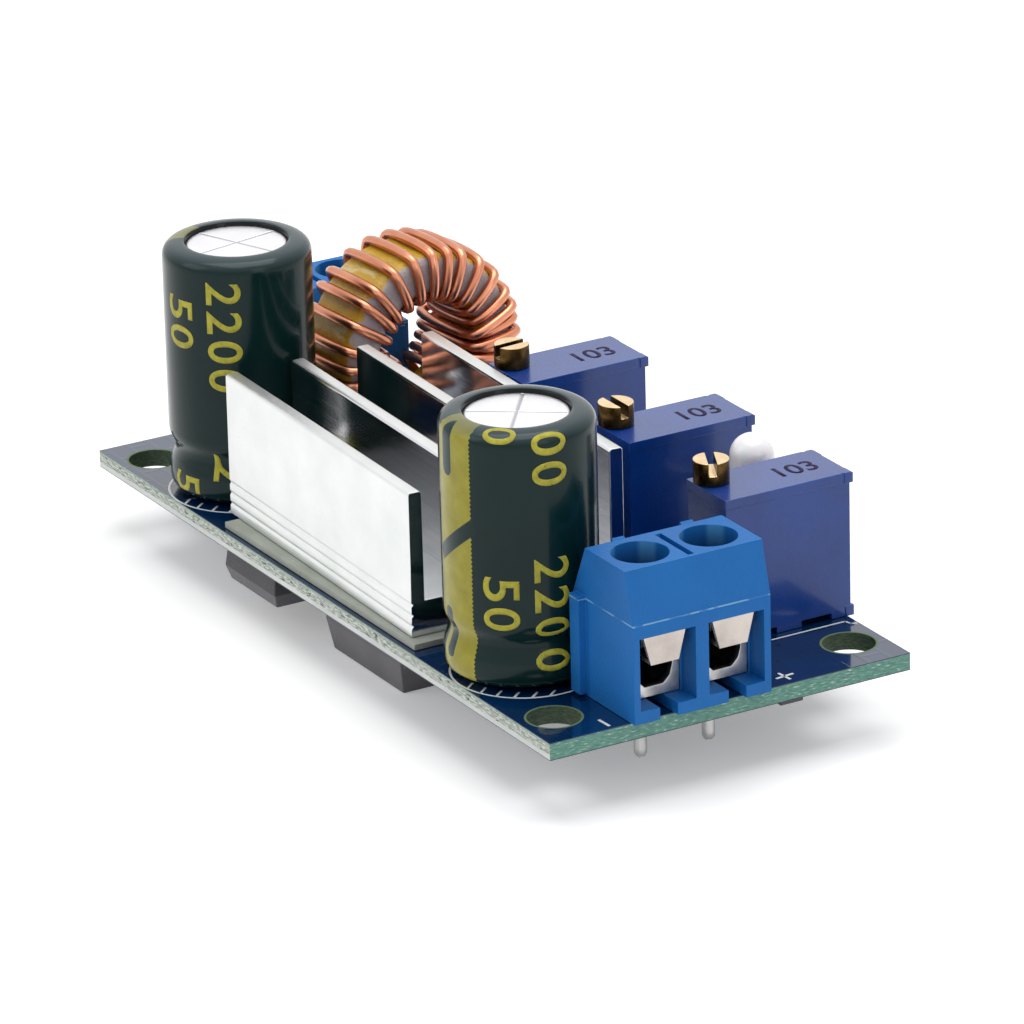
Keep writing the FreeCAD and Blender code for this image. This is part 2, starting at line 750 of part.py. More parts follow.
def terminal_leaf(y):
    """The wire guard: a tapered strip in front, one leg under the cage's roof, one under the screw."""
    thick = LEAF_THICK
    low = BOARD_TOP + LEAF_Z[0]
    high = BOARD_TOP + LEAF_Z[1]
    front = [
        (LEAF_FRONT - thick, y - LEAF_LEG_WIDTH / 2, low), (LEAF_FRONT - thick, y + LEAF_LEG_WIDTH / 2, low),
        (LEAF_FRONT - thick, y + LEAF_TOP_WIDTH / 2, high),
        (LEAF_FRONT - thick, y - LEAF_TOP_WIDTH / 2, high),
    ]
    flap = extruded(front, (thick, 0, 0))
    half = LEAF_LEG_WIDTH / 2
    back = SCREW_X - CLAMP_SCREW_DIA / 2
    under_screw = block(back, LEAF_FRONT - thick / 2, y - half, y + half, low, low + thick)
    hook_half = CAGE_WIDTH / 2 - CAGE_WALL - RUNNING_GAP
    hook = block(CAGE_FRONT - 0.12, LEAF_FRONT - thick / 2, y - hook_half, y + hook_half, high - thick, high)
    return joined([flap, under_screw, hook])


def terminal_screw(y, slot_angle):
    top = BOARD_TOP + CLAMP_HEAD_TOP
    radius = CLAMP_HEAD_DIA / 2
    head = flat_turning(0, 0, [(radius, top - CLAMP_HEAD_HEIGHT), (radius, top)], SMALL_ROUND_SIDES)
    half = CLAMP_HEAD_DIA / 2 + CUT_OVER
    slot = block(
        -half, half, -CLAMP_SLOT_WIDTH / 2, CLAMP_SLOT_WIDTH / 2, top - CLAMP_SLOT_DEPTH, top + CUT_OVER
    )
    slot.rotate(Vec(0, 0, 0), Vec(0, 0, 1), slot_angle)
    shank = flat_rod(0, 0, BOARD_TOP + CLAMP_TIP, top - CLAMP_HEAD_HEIGHT, CLAMP_SCREW_DIA / FLAT_TO_CORNER)
    return placed(head.cut(slot).fuse(shank), SCREW_X, y, 0)


def terminals():
    nodes = {}
    housing = terminal_housing()
    for name, place in TERMINAL_PLACES.items():
        nodes[name + "_housing"] = placed(housing, place[0], place[1], 0, place[2])
        contacts = []
        leaves = []
        for i, y in enumerate(pole_places()):
            screw = terminal_screw(y, 20.0 + 45.0 * i)
            nodes["%s_screw_%d" % (name, i + 1)] = placed(screw, place[0], place[1], 0, place[2])
            contacts.append(placed(terminal_contact(y), place[0], place[1], 0, place[2]))
            leaves.append(placed(terminal_leaf(y), place[0], place[1], 0, place[2]))
        nodes[name + "_contacts"] = Part.makeCompound(contacts)
        nodes[name + "_leaves"] = Part.makeCompound(leaves)
    return nodes


# Underside


def drafted_body(centre, size, draft, gap, parting=0.5):
    """A moulded package hanging under the board, widest at its parting line."""
    half_x = size[0] / 2
    half_y = size[1] / 2
    near = -gap
    far = -gap - size[2]
    middle = near + (far - near) * parting
    rings = []
    for z, inset in ((far, draft), (middle, 0.0), (near, draft / 2)):
        rings.append([
            Vec(centre[0] - half_x + inset, centre[1] - half_y + inset, z),
            Vec(centre[0] + half_x - inset, centre[1] - half_y + inset, z),
            Vec(centre[0] + half_x - inset, centre[1] + half_y - inset, z),
            Vec(centre[0] - half_x + inset, centre[1] + half_y - inset, z),
        ])
    return prismatoid(rings)


def bent_lead(start_x, end_x, y, width, thick, exit_depth):
    """A lead out of the body that slants down to its foot on the board."""
    way = 1 if end_x > start_x else -1
    toe = start_x + (end_x - start_x) * 0.55
    low = -SOLDER_FILM
    points = [
        (start_x, -exit_depth), (toe, low - thick), (end_x, low - thick),
        (end_x, low), (toe - way * thick * 0.4, low), (start_x, thick - exit_depth),
    ]
    return extruded([(x, y - width / 2, z) for x, z in points], (0, width, 0))


def regulator():
    """The regulator, drawn with its tab towards -X and its leads towards +X, then turned in its place."""
    body = drafted_body((0, 0), REGULATOR_BODY, REGULATOR_DRAFT, CHIP_STANDOFF)
    end = REGULATOR_BODY[0] / 2
    tab = block(
        -end - REGULATOR_TAB, -end - SOLDER_FILM, -REGULATOR_TAB_WIDTH / 2, REGULATOR_TAB_WIDTH / 2,
        -SOLDER_FILM - REGULATOR_TAB_THICK, -SOLDER_FILM,
    )
    metal = [tab]
    for i in range(REGULATOR_LEADS):
        lead_y = (i - (REGULATOR_LEADS - 1) / 2) * REGULATOR_LEAD_PITCH
        metal.append(bent_lead(
            end + SOLDER_FILM, end + REGULATOR_LEAD_REACH, lead_y, REGULATOR_LEAD[0], REGULATOR_LEAD[1],
            REGULATOR_LEAD_EXIT,
        ))
    place = (*REGULATOR_CENTRE, 0, REGULATOR_TURN)
    return placed(body, *place), placed(Part.makeCompound(metal), *place)


def rectifier():
    gap = CHIP_STANDOFF + RECTIFIER_LEAD_THICK
    body = drafted_body(RECTIFIER_CENTRE, RECTIFIER_BODY, RECTIFIER_DRAFT, gap, RECTIFIER_PARTING)
    thick = RECTIFIER_LEAD_THICK
    half = RECTIFIER_BODY[0] / 2
    depth = CHIP_STANDOFF + thick + RECTIFIER_BODY[2] * RECTIFIER_PARTING
    metal = []
    for way in (-1, 1):
        out = half + thick + SOLDER_FILM
        points = [
            (half + SOLDER_FILM, -depth), (out, -depth), (out, -SOLDER_FILM), (out - 1.6, -SOLDER_FILM),
            (out - 1.6, -SOLDER_FILM - thick), (out - thick, -SOLDER_FILM - thick),
            (out - thick, thick - depth),
        ]
        low_y = RECTIFIER_CENTRE[1] - RECTIFIER_LEAD_WIDTH / 2
        outline = [(RECTIFIER_CENTRE[0] + way * x, low_y, z) for x, z in points]
        metal.append(extruded(outline, (0, RECTIFIER_LEAD_WIDTH, 0)))
    return body, Part.makeCompound(metal)


def op_amp():
    body = drafted_body(OP_AMP_CENTRE, OP_AMP_BODY, OP_AMP_DRAFT, CHIP_STANDOFF)
    metal = []
    reach = (OP_AMP_SPAN - OP_AMP_BODY[1]) / 2
    for way in (-1, 1):
        for i in range(OP_AMP_LEADS):
            start = way * (OP_AMP_BODY[1] / 2 + SOLDER_FILM)
            end = way * (OP_AMP_BODY[1] / 2 + reach)
            x = (i - (OP_AMP_LEADS - 1) / 2) * OP_AMP_LEAD_PITCH
            lead = bent_lead(
                start, end, 0, OP_AMP_LEAD[0], OP_AMP_LEAD[1], CHIP_STANDOFF + OP_AMP_BODY[2] / 2
            )
            lead.rotate(Vec(0, 0, 0), Vec(0, 0, 1), 90)
            lead.translate(Vec(OP_AMP_CENTRE[0] + x, OP_AMP_CENTRE[1], 0))
            metal.append(lead)
    return body, Part.makeCompound(metal)


def chip_grid(start, step, columns, lines, size):
    chips = []
    for i in range(columns):
        for j in range(lines):
            centre = (start[0] + i * step[0], start[1] + j * step[1])
            chips.append(brick(centre, size, -SOLDER_FILM - size[2], -SOLDER_FILM))
    return Part.makeCompound(chips)


def current_shunt():
    centre = (BOARD_LENGTH / 2 - SHUNT_INSET, SHUNT_ASIDE)
    return brick(centre, SHUNT_SIZE, -SOLDER_FILM - SHUNT_SIZE[2], -SOLDER_FILM)


def underside():
    regulator_body, regulator_leads = regulator()
    rectifier_body, rectifier_leads = rectifier()
    op_amp_body, op_amp_leads = op_amp()
    return {
        "regulator_body": regulator_body,
        "regulator_leads": regulator_leads,
        "rectifier_body": rectifier_body,
        "rectifier_leads": rectifier_leads,
        "op_amp_body": op_amp_body,
        "op_amp_leads": op_amp_leads,
        "current_shunt": current_shunt(),
        "chip_resistors": chip_grid(
            RESISTOR_ROW, RESISTOR_STEP, RESISTOR_COLUMNS, RESISTOR_LINES, RESISTOR_SIZE
        ),
        "chip_capacitors": chip_grid(
            CAPACITOR_ROW, CAPACITOR_STEP, CAPACITOR_COLUMNS, CAPACITOR_LINES, CAPACITOR_SIZE
        ),
    }


# Board


def round_leads():
    """Every round lead that goes through the board: x, y and width across."""
    leads = []
    for x, y in CAP_PLACES.values():
        for side in (-1, 1):
            leads.append((x + side * CAP_LEAD_PITCH / 2, y, CAP_LEAD_DIA))
    for end in choke_ends():
        leads.append((end.x, end.y, WIRE_DIA * FLAT_TO_CORNER))
    return leads


def square_leads():
    """Every square lead that goes through the board: x, y and width across."""
    leads = []
    for x, y in TRIMMER_PLACES:
        for i in (-1, 0, 1):
            leads.append((x, y + i * TRIMMER_PIN_PITCH, TRIMMER_PIN))
    for side in (-1, 1):
        leads.append((LAMP_PLACE[0] + side * LAMP_PIN_PITCH / 2, LAMP_PLACE[1], LAMP_PIN))
    for place in TERMINAL_PLACES.values():
        for pole in pole_places():
            leads.append((*turned_point(0, pole, place), TERMINAL_PIN))
    return leads


def circuit_board():
    board = brick((0, 0), (BOARD_LENGTH, BOARD_WIDTH), 0, BOARD_THICK)
    for x in (-HOLE_SPACING_X / 2, HOLE_SPACING_X / 2):
        for y in (-HOLE_SPACING_Y / 2, HOLE_SPACING_Y / 2):
            board = board.cut(rod(x, y, -1, BOARD_THICK + 1, HOLE_DIA))
    for x, y, width in round_leads():
        board = board.cut(flat_rod(x, y, -1, BOARD_THICK + 1, width + 2 * LEAD_HOLE_GAP))
    for x, y, width in square_leads():
        hole = width + 2 * LEAD_HOLE_GAP
        board = board.cut(brick((x, y), (hole, hole), -1, BOARD_THICK + 1))
    return board


def build():
    nodes = {"circuit_board": circuit_board()}
    nodes.update(capacitors())
    nodes["heatsink"] = heatsink()
    nodes["thermal_pad"] = thermal_pad()
    nodes["inductor_core"] = choke_core()
    nodes["inductor_winding"] = choke_winding()
    nodes.update(trimmers())
    nodes["lamp_lens"] = lamp_lens()
    nodes["lamp_leads"] = lamp_leads()
    nodes.update(terminals())
    nodes.update(underside())
    return nodes


os.makedirs("parts", exist_ok=True)
for node, shape in build().items():
    shape.exportStep("parts/%s.step" % node)
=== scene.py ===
import bpy
import math
from mathutils import Matrix, Vector


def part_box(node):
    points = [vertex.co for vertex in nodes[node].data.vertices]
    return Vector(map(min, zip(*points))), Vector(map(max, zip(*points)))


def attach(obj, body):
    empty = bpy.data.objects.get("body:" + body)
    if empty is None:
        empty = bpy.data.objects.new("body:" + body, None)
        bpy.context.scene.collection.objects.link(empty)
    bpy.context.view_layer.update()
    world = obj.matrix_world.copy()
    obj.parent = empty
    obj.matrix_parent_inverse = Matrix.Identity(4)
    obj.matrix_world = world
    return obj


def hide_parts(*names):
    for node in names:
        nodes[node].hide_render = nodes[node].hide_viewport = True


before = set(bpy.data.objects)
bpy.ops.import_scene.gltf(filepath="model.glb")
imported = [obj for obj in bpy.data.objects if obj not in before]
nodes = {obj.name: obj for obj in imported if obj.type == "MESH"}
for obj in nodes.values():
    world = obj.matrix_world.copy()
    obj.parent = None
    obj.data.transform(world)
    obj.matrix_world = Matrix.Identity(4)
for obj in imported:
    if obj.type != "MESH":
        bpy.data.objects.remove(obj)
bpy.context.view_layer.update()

# Step-down converter module. Metres; MM turns the part's millimetres into them.
MM = 0.001
BOARD_TOP = 1.2
INK_THICK = 0.012
LOWEST = -4.5
CAP_PLACES = {"input_capacitor": (-19.4, -8.05), "output_capacitor": (18.82, -8.47)}
CAN_RADIUS = 5.07
CROWN = (17.1, 17.65)
VENT_EDGE = 3.5
CHOKE_PLACE = (-20.0, 5.35)
CHOKE_TURN = 4.2
CORE_OUTER = 13.2
CORE_BORE = 7.8
CORE_WIDTH = 5.4
WIRE_DIA = 0.62
WIRE_SHOWN = 0.69
WIRE_LEAD_HALF = 0.31
WIRE_END = -1.2
WIRE_GAP_OUTSIDE = 0.25
WIRE_GAP_BORE = 0.08
WIRE_GAP_SIDE = 0.08
CHOKE_ABOVE_BOARD = 0.1
FIRST_TURN = 224.0
TURN_STEPS = (12, 12, 11, 10, 11, 15, 13, 10, 15, 14, 13, 11, 10, 14, 14, 14, 9, 8, 8, 7.5, 7.5, 8, 8, 8, 8, 9)
BORE_LEAN = 7.0
BORE_LEAN_FROM = 100.0
LIFT_BORE = 0.62
LIFT_SIDE = 0.62
LIFT_OUTSIDE = 0.35
BORE_ROOM = 0.03
BEND_EASE = 0.65
COAT_OUTER = 13.55
COAT_CORNER = 0.75
VIAS = ((24.93, 7.04), (27.21, 5.69), (27.17, 6.88))
LAMP_PLACE = (14.75, 11.5)
SINK_CENTRE = (-0.95, -4.43)
SINK_WALL = -7.95
SINK_TURN = -1.5
TERMINALS = {"output_terminal": (27.6, -2.49, 0.0), "input_terminal": (-28.35, 2.49, 180.0)}
SLOT_TURNS = (59.0, 35.0, 37.0)
BLOCK_SHOULDER = 6.72
BLOCK_TOP = 10.2
CLAMP_AHEAD = 0.4
PIN_ASIDE = 2.54
PIN_HALF = 0.34
SMALL_PIN_HALF = 0.28
CAN_LEAD_HALF = 0.3
CAN_LEAD_ASIDE = 2.5
LEAD_PITCH = 2.54
PINS_FROM = -0.3
PIN_SHARE = 0.7
TRIMMER_PLACES = ((-4.73, 9.02), (8.61, 9.17), (20.89, 8.97))
SHARP_FROM = 28.0
SMOOTH_UP_TO = 40.0
HOLE_PLACES = [(x * 27.1, y * 11.05) for x in (-1, 1) for y in (-1, 1)]

scene = bpy.context.scene


# Working on pieces


def nothing_taken():
    if bpy.context.mode != "OBJECT":
        bpy.ops.object.mode_set(mode="OBJECT")
    bpy.ops.object.select_all(action="DESELECT")


def take(piece):
    nothing_taken()
    piece.select_set(True)
    bpy.context.view_layer.objects.active = piece
    return piece


def edit_all():
    bpy.ops.object.mode_set(mode="EDIT")
    bpy.ops.mesh.select_all(action="SELECT")


def back_to_pieces():
    bpy.ops.object.mode_set(mode="OBJECT")


def named(name):
    piece = bpy.context.view_layer.objects.active
    piece.name = name
    piece.data.name = name
    return piece


def settled(piece):
    """The piece's place goes into its mesh."""
    take(piece)
    bpy.ops.object.transform_apply(location=True, rotation=True, scale=True)
    return piece


def with_modifier(piece, kind, **settings):
    take(piece)
    modifier = piece.modifiers.new(kind.lower(), kind)
    for key, value in settings.items():
        setattr(modifier, key, value)
    bpy.ops.object.modifier_apply(modifier=modifier.name)
    return piece


def smooth(piece, angle):
    take(piece)
    bpy.ops.object.shade_smooth_by_angle(angle=math.radians(angle))
    return piece


def outward(piece, merge=0.002):
    take(piece)
    edit_all()
    bpy.ops.mesh.remove_doubles(threshold=merge * MM)
    bpy.ops.mesh.normals_make_consistent(inside=False)
    back_to_pieces()
    return piece


def joined(name, pieces):
    nothing_taken()
    for piece in pieces:
        piece.select_set(True)
    bpy.context.view_layer.objects.active = pieces[0]
    bpy.ops.object.join()
    return named(name)


def copies(piece, places):
    """The piece, modelled once about the origin, at each place; every copy has its own mesh."""
    made = []
    for place in places:
        copy = piece.copy()
        copy.data = piece.data.copy()
        scene.collection.objects.link(copy)
        copy.data.transform(Matrix.Translation(Vector(place) * MM))
        made.append(copy)
    bpy.data.objects.remove(piece)
    return made


def turned(name, outline, sides=96, place=(0, 0, 0)):
    """A turned piece: a circle drawn up through (radius, height) pairs; a radius of 0 closes it."""
    nothing_taken()
    first = outline[0]
    at = [place[0] * MM, place[1] * MM, (place[2] + first[1]) * MM]
    bpy.ops.mesh.primitive_circle_add(vertices=sides, radius=max(first[0], 0.01) * MM, location=at)
    piece = named(name)
    edit_all()
    if first[0] == 0:
        bpy.ops.mesh.edge_face_add()
        bpy.ops.mesh.select_all(action="SELECT")
        bpy.ops.mesh.delete(type="ONLY_FACE")
        bpy.ops.mesh.select_all(action="SELECT")
    last = max(first[0], 0.01)
    for (_, old_height), (radius, height) in zip(outline, outline[1:]):
        at[2] += (height - old_height) * MM
        bpy.ops.mesh.extrude_region_move(TRANSFORM_OT_translate={"value": (0, 0, (height - old_height) * MM)})
        now = max(radius, 0.01)
        if abs(now - last) > 1e-9:
            step = now / last
            bpy.ops.transform.resize(value=(step, step, 1), center_override=at)
        last = now
    back_to_pieces()
    return outward(settled(piece), 0.015 if outline[-1][0] == 0 or first[0] == 0 else 0.001)


def closed_ring(name, outline, sides):
    """A turned piece whose outline comes back to its start."""
    return outward(turned(name, outline + [outline[0]], sides))


def eased_copy(node, width, segments):
    """A CAD node's own shape with its sharp edges broken, as moulding and deburring leave them."""
    piece = bpy.data.objects.new(node + "_eased", nodes[node].data.copy())
    scene.collection.objects.link(piece)
    take(piece)
    piece.data.materials.clear()
    edit_all()
    bpy.ops.mesh.customdata_custom_splitnormals_clear()
    bpy.ops.mesh.remove_doubles(threshold=0.0005 * MM)
    bpy.ops.mesh.dissolve_limited(angle_limit=math.radians(1.0))
    back_to_pieces()
    with_modifier(
        piece, "BEVEL", width=width * MM, segments=segments, limit_method="ANGLE",
        angle_limit=math.radians(SHARP_FROM), use_clamp_overlap=True,
    )
    smooth(piece, SMOOTH_UP_TO)
    return with_modifier(piece, "WEIGHTED_NORMAL", mode="FACE_AREA", weight=80, keep_sharp=True)


def lettering(name, text, size, offset):
    """Flat characters at the origin, as a mesh."""
    nothing_taken()
    bpy.ops.object.text_add(location=(0, 0, 0))
    piece = bpy.context.view_layer.objects.active
    piece.data.body = text
    piece.data.size = size
    piece.data.offset = offset
    piece.data.fill_mode = "FRONT"
    bpy.ops.object.convert(target="MESH")
    return named(name)


def boxed(name, size):
    """A block about the origin."""
    nothing_taken()
    bpy.ops.mesh.primitive_cube_add(size=1, location=(0, 0, 0), scale=[s * MM for s in size])
    return settled(named(name))


# Working on finishes


def add(tree, kind, sockets=None, **settings):
    """A node in the tree, with its sockets linked or set."""
    node = tree.nodes.new(kind)
    for key, value in settings.items():
        setattr(node, key, value)
    for key, value in (sockets or {}).items():
        if isinstance(value, bpy.types.NodeSocket):
            tree.links.new(value, node.inputs[key])
        else:
            node.inputs[key].default_value = value
    return node


def calc(tree, operation, *values):
    return add(tree, "ShaderNodeMath", dict(enumerate(values)), operation=operation).outputs[0]


def times(tree, one, other):
    return calc(tree, "MULTIPLY", one, other)


def plus(tree, one, other):
    return calc(tree, "ADD", one, other)


def minus(tree, one, other):
    return calc(tree, "SUBTRACT", one, other)


def size_of(tree, value):
    return calc(tree, "ABSOLUTE", value)


def larger(tree, first, *others):
    """The largest of the values; None stands for no value yet."""
    for value in others:
        first = value if first is None else calc(tree, "MAXIMUM", first, value)
    return first


def reach(tree, one, other):
    """How far a place is from the middle, from its two offsets."""
    return calc(tree, "SQRT", plus(tree, calc(tree, "POWER", one, 2.0), calc(tree, "POWER", other, 2.0)))


def split(tree, vector):
    return add(tree, "ShaderNodeSeparateXYZ", {0: vector}).outputs


def merged(tree, *values):
    return add(tree, "ShaderNodeCombineXYZ", dict(enumerate(values))).outputs[0]


def noise(tree, place, scale, detail, **sockets):
    return add(tree, "ShaderNodeTexNoise", {"Vector": place, "Scale": scale, "Detail": detail, **sockets}).outputs[0]


def ranged(tree, value, low, high, to_low=0.0, to_high=1.0):
    """The value carried over from one range to another, and held at its ends."""
    sockets = {"Value": value, "From Min": low, "From Max": high, "To Min": to_low, "To Max": to_high}
    return add(tree, "ShaderNodeMapRange", sockets).outputs["Result"]


def colour(red, green, blue):
    """From the eye's scale of 0 to 255 to the light's own."""
    made = []
    for value in (red, green, blue):
        value /= 255
        made.append(value / 12.92 if value <= 0.04045 else ((value + 0.055) / 1.055) ** 2.4)
    return made + [1.0]


def blended(tree, mask, one, other):
    """One colour turning into the other as the mask rises; three numbers are on the eye's scale."""
    node = add(tree, "ShaderNodeMix", {0: mask}, data_type="RGBA")
    for socket, value in ((node.inputs[6], one), (node.inputs[7], other)):
        if isinstance(value, bpy.types.NodeSocket):
            tree.links.new(value, socket)
        else:
            socket.default_value = value if len(value) == 4 else colour(*value)
    return node.outputs[2]


def new_group(name, sizes, gives):
    """An empty group that takes a place and some sizes, and gives masks."""
    tree = bpy.data.node_groups.new(name, "ShaderNodeTree")
    tree.interface.new_socket(name="Place", in_out="INPUT", socket_type="NodeSocketVector")
    for label, start in sizes.items():
        tree.interface.new_socket(name=label, in_out="INPUT", socket_type="NodeSocketFloat").default_value = start
    for label in gives:
        tree.interface.new_socket(name=label, in_out="OUTPUT", socket_type="NodeSocketFloat")
    return tree, tree.nodes.new("NodeGroupInput").outputs, tree.nodes.new("NodeGroupOutput").inputs


def grain_group():
    """Slow cloudiness, fine grain and scattered specks of a surface, sized in millimetres."""
    sizes = {"Cloud size": 4.0, "Grain size": 0.15, "Speck size": 0.3, "Speck share": 0.1}
    tree, gets, puts = new_group("surface grain", sizes, ("Cloud", "Grain", "Specks"))
    for size, out, detail in (("Cloud size", "Cloud", 4.0), ("Grain size", "Grain", 2.0)):
        seen = noise(tree, gets["Place"], calc(tree, "DIVIDE", 1.0, gets[size]), detail)
        tree.links.new(ranged(tree, seen, 0.3, 0.7), puts[out])
    spots = noise(tree, gets["Place"], calc(tree, "DIVIDE", 1.0, gets["Speck size"]), 1.0)
    edge = minus(tree, 0.78, times(tree, gets["Speck share"], 0.3))
    tree.links.new(ranged(tree, minus(tree, spots, edge), 0.0, 0.03), puts["Specks"])
    return tree


def drawn_group():
    """Fine drawn lines along the local X of a metal."""
    tree, gets, puts = new_group("drawn lines", {"Line width": 0.05, "Line length": 6.0}, ("Lines", "Broad lines"))
    x, y, z = split(tree, gets["Place"])
    for ratio, out in ((1.0, "Lines"), (8.0, "Broad lines")):
        width = times(tree, gets["Line width"], ratio)
        shrunk = (
            calc(tree, "DIVIDE", x, gets["Line length"]), calc(tree, "DIVIDE", y, width),
            calc(tree, "DIVIDE", z, width),
        )
        tree.links.new(ranged(tree, noise(tree, merged(tree, *shrunk), 1.0, 2.0), 0.3, 0.7), puts[out])
    return tree


def soft_mask(tree, gets, puts, inside):
    """A mask that is full where the value is above nought, with the group's soft edge."""
    soft = calc(tree, "DIVIDE", inside, gets["Soft edge"])
    tree.links.new(ranged(tree, soft, -0.5, 0.5), puts["Mask"])
    return tree


def bar_group():
    """A bar with rounded ends, given its middle and half sizes in the local X and Y."""
    sizes = {"Middle X": 0.0, "Middle Y": 0.0, "Half X": 1.0, "Half Y": 1.0, "Rounding": 0.1, "Soft edge": 0.03}
    tree, gets, puts = new_group("marked bar", sizes, ("Mask",))
    away = []
    for axis, part in zip("XY", split(tree, gets["Place"])):
        inner = minus(tree, gets["Half " + axis], gets["Rounding"])
        offset = size_of(tree, minus(tree, part, gets["Middle " + axis]))
        away.append(larger(tree, minus(tree, offset, inner), 0.0))
    return soft_mask(tree, gets, puts, minus(tree, gets["Rounding"], reach(tree, *away)))


def ring_group():
    """A ring about the local Z."""
    tree, gets, puts = new_group("marked ring", {"Radius": 1.0, "Half width": 0.1, "Soft edge": 0.03}, ("Mask",))
    x, y, _ = split(tree, gets["Place"])
    offset = size_of(tree, minus(tree, reach(tree, x, y), gets["Radius"]))
    return soft_mask(tree, gets, puts, minus(tree, gets["Half width"], offset))


GRAIN = grain_group()
DRAWN = drawn_group()
BAR = bar_group()
RING = ring_group()


def use(tree, group, **sockets):
    node = tree.nodes.new("ShaderNodeGroup")
    node.node_tree = group
    for key, value in sockets.items():
        socket = node.inputs[key.replace("_", " ")]
        if isinstance(value, bpy.types.NodeSocket):
            tree.links.new(value, socket)
        else:
            socket.default_value = value
    return node.outputs


class Finish:
    """A surface finish: one Principled shader, with the place on the piece in millimetres."""

    def __init__(self, name, place=(0, 0, 0), turn=(0, 0, 0), **sockets):
        self.material = bpy.data.materials.new(name)
        self.material.use_nodes = True
        self.tree = self.material.node_tree
        self.tree.nodes.clear()
        out = self.tree.nodes.new("ShaderNodeOutputMaterial")
        self.shader = self.tree.nodes.new("ShaderNodeBsdfPrincipled")
        self.tree.links.new(self.shader.outputs[0], out.inputs[0])
        for key, value in sockets.items():
            self.shader.inputs[key.replace("_", " ")].default_value = value
        self.where = self.tree.nodes.new("ShaderNodeTexCoord")
        self.place = self.local(place, turn)
        self.bumped = None

    def local(self, place=(0, 0, 0), turn=(0, 0, 0)):
        sockets = {
            "Vector": self.where.outputs["Object"], "Location": [v * MM for v in place],
            "Rotation": [math.radians(v) for v in turn], "Scale": (MM, MM, MM),
        }
        return add(self.tree, "ShaderNodeMapping", sockets, vector_type="TEXTURE").outputs[0]

    def start(self, **sizes):
        """What most finishes start from: the tree, the grain, the place's parts and the normal's."""
        normal = split(self.tree, self.where.outputs["Normal"])
        return self.tree, self.grain(**sizes), split(self.tree, self.place), normal

    def feed(self, socket, value):
        self.tree.links.new(value, self.shader.inputs[socket])

    def rough(self, mask, low, high):
        self.feed("Roughness", ranged(self.tree, mask, 0.0, 1.0, low, high))

    def bump(self, height, distance, strength=1.0):
        sockets = {"Height": height, "Distance": distance * MM, "Strength": strength}
        if self.bumped:
            sockets["Normal"] = self.bumped
        self.bumped = add(self.tree, "ShaderNodeBump", sockets).outputs[0]
        self.feed("Normal", self.bumped)

    def grain(self, **sizes):
        return use(self.tree, GRAIN, Place=self.place, **sizes)

    def rings(self, places, **sizes):
        """One mask over a ring, or a disc, at each place."""
        made = None
        for place in places:
            made = larger(self.tree, made, use(self.tree, RING, Place=self.local(place), **sizes)["Mask"])
        return made


def mixed(tree, one, other, share):
    return plus(tree, times(tree, one, share), times(tree, other, 1 - share))


def plain_finish(
    name, base, shade, rough, grain=0.15, cloud=4.0, depth=0.004, specks=0.0, speck_colour=(225, 225, 220), **sockets
):
    """Base colour with cloudiness, grain in its roughness and bump, and specks of dust."""
    made = Finish(name, **sockets)
    seen = made.grain(Cloud_size=cloud, Grain_size=grain, Speck_size=0.25, Speck_share=specks)
    tint = blended(made.tree, seen["Cloud"], base, shade)
    if specks:
        tint = blended(made.tree, times(made.tree, seen["Specks"], 0.6), tint, speck_colour)
    made.feed("Base Color", tint)
    made.rough(mixed(made.tree, seen["Grain"], seen["Cloud"], 0.5), *rough)
    made.bump(seen["Grain"], depth)
    return made


def metal_finish(name, base, shade, rough, line=0.05, length=6.0):
    """Drawn or rolled metal with lines along its local X."""
    made = Finish(name, Metallic=1.0)
    seen = made.grain(Cloud_size=3.0)
    lines = use(made.tree, DRAWN, Place=made.place, Line_width=line, Line_length=length)
    made.feed("Base Color", blended(made.tree, seen["Cloud"], base, shade))
    made.rough(mixed(made.tree, lines["Broad lines"], seen["Cloud"], 0.6), *rough)
    made.bump(lines["Lines"], 0.003)
    return made


def given(piece, finish, node=None, body="module"):
    """The piece gets its finish, and its place in the shared frame."""
    put_on(piece, finish)
    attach(piece, body)
    if node:
        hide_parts(node)
    return piece


def put_on(piece, finish):
    piece.data.materials.clear()
    piece.data.materials.append(finish.material)


# Finishes


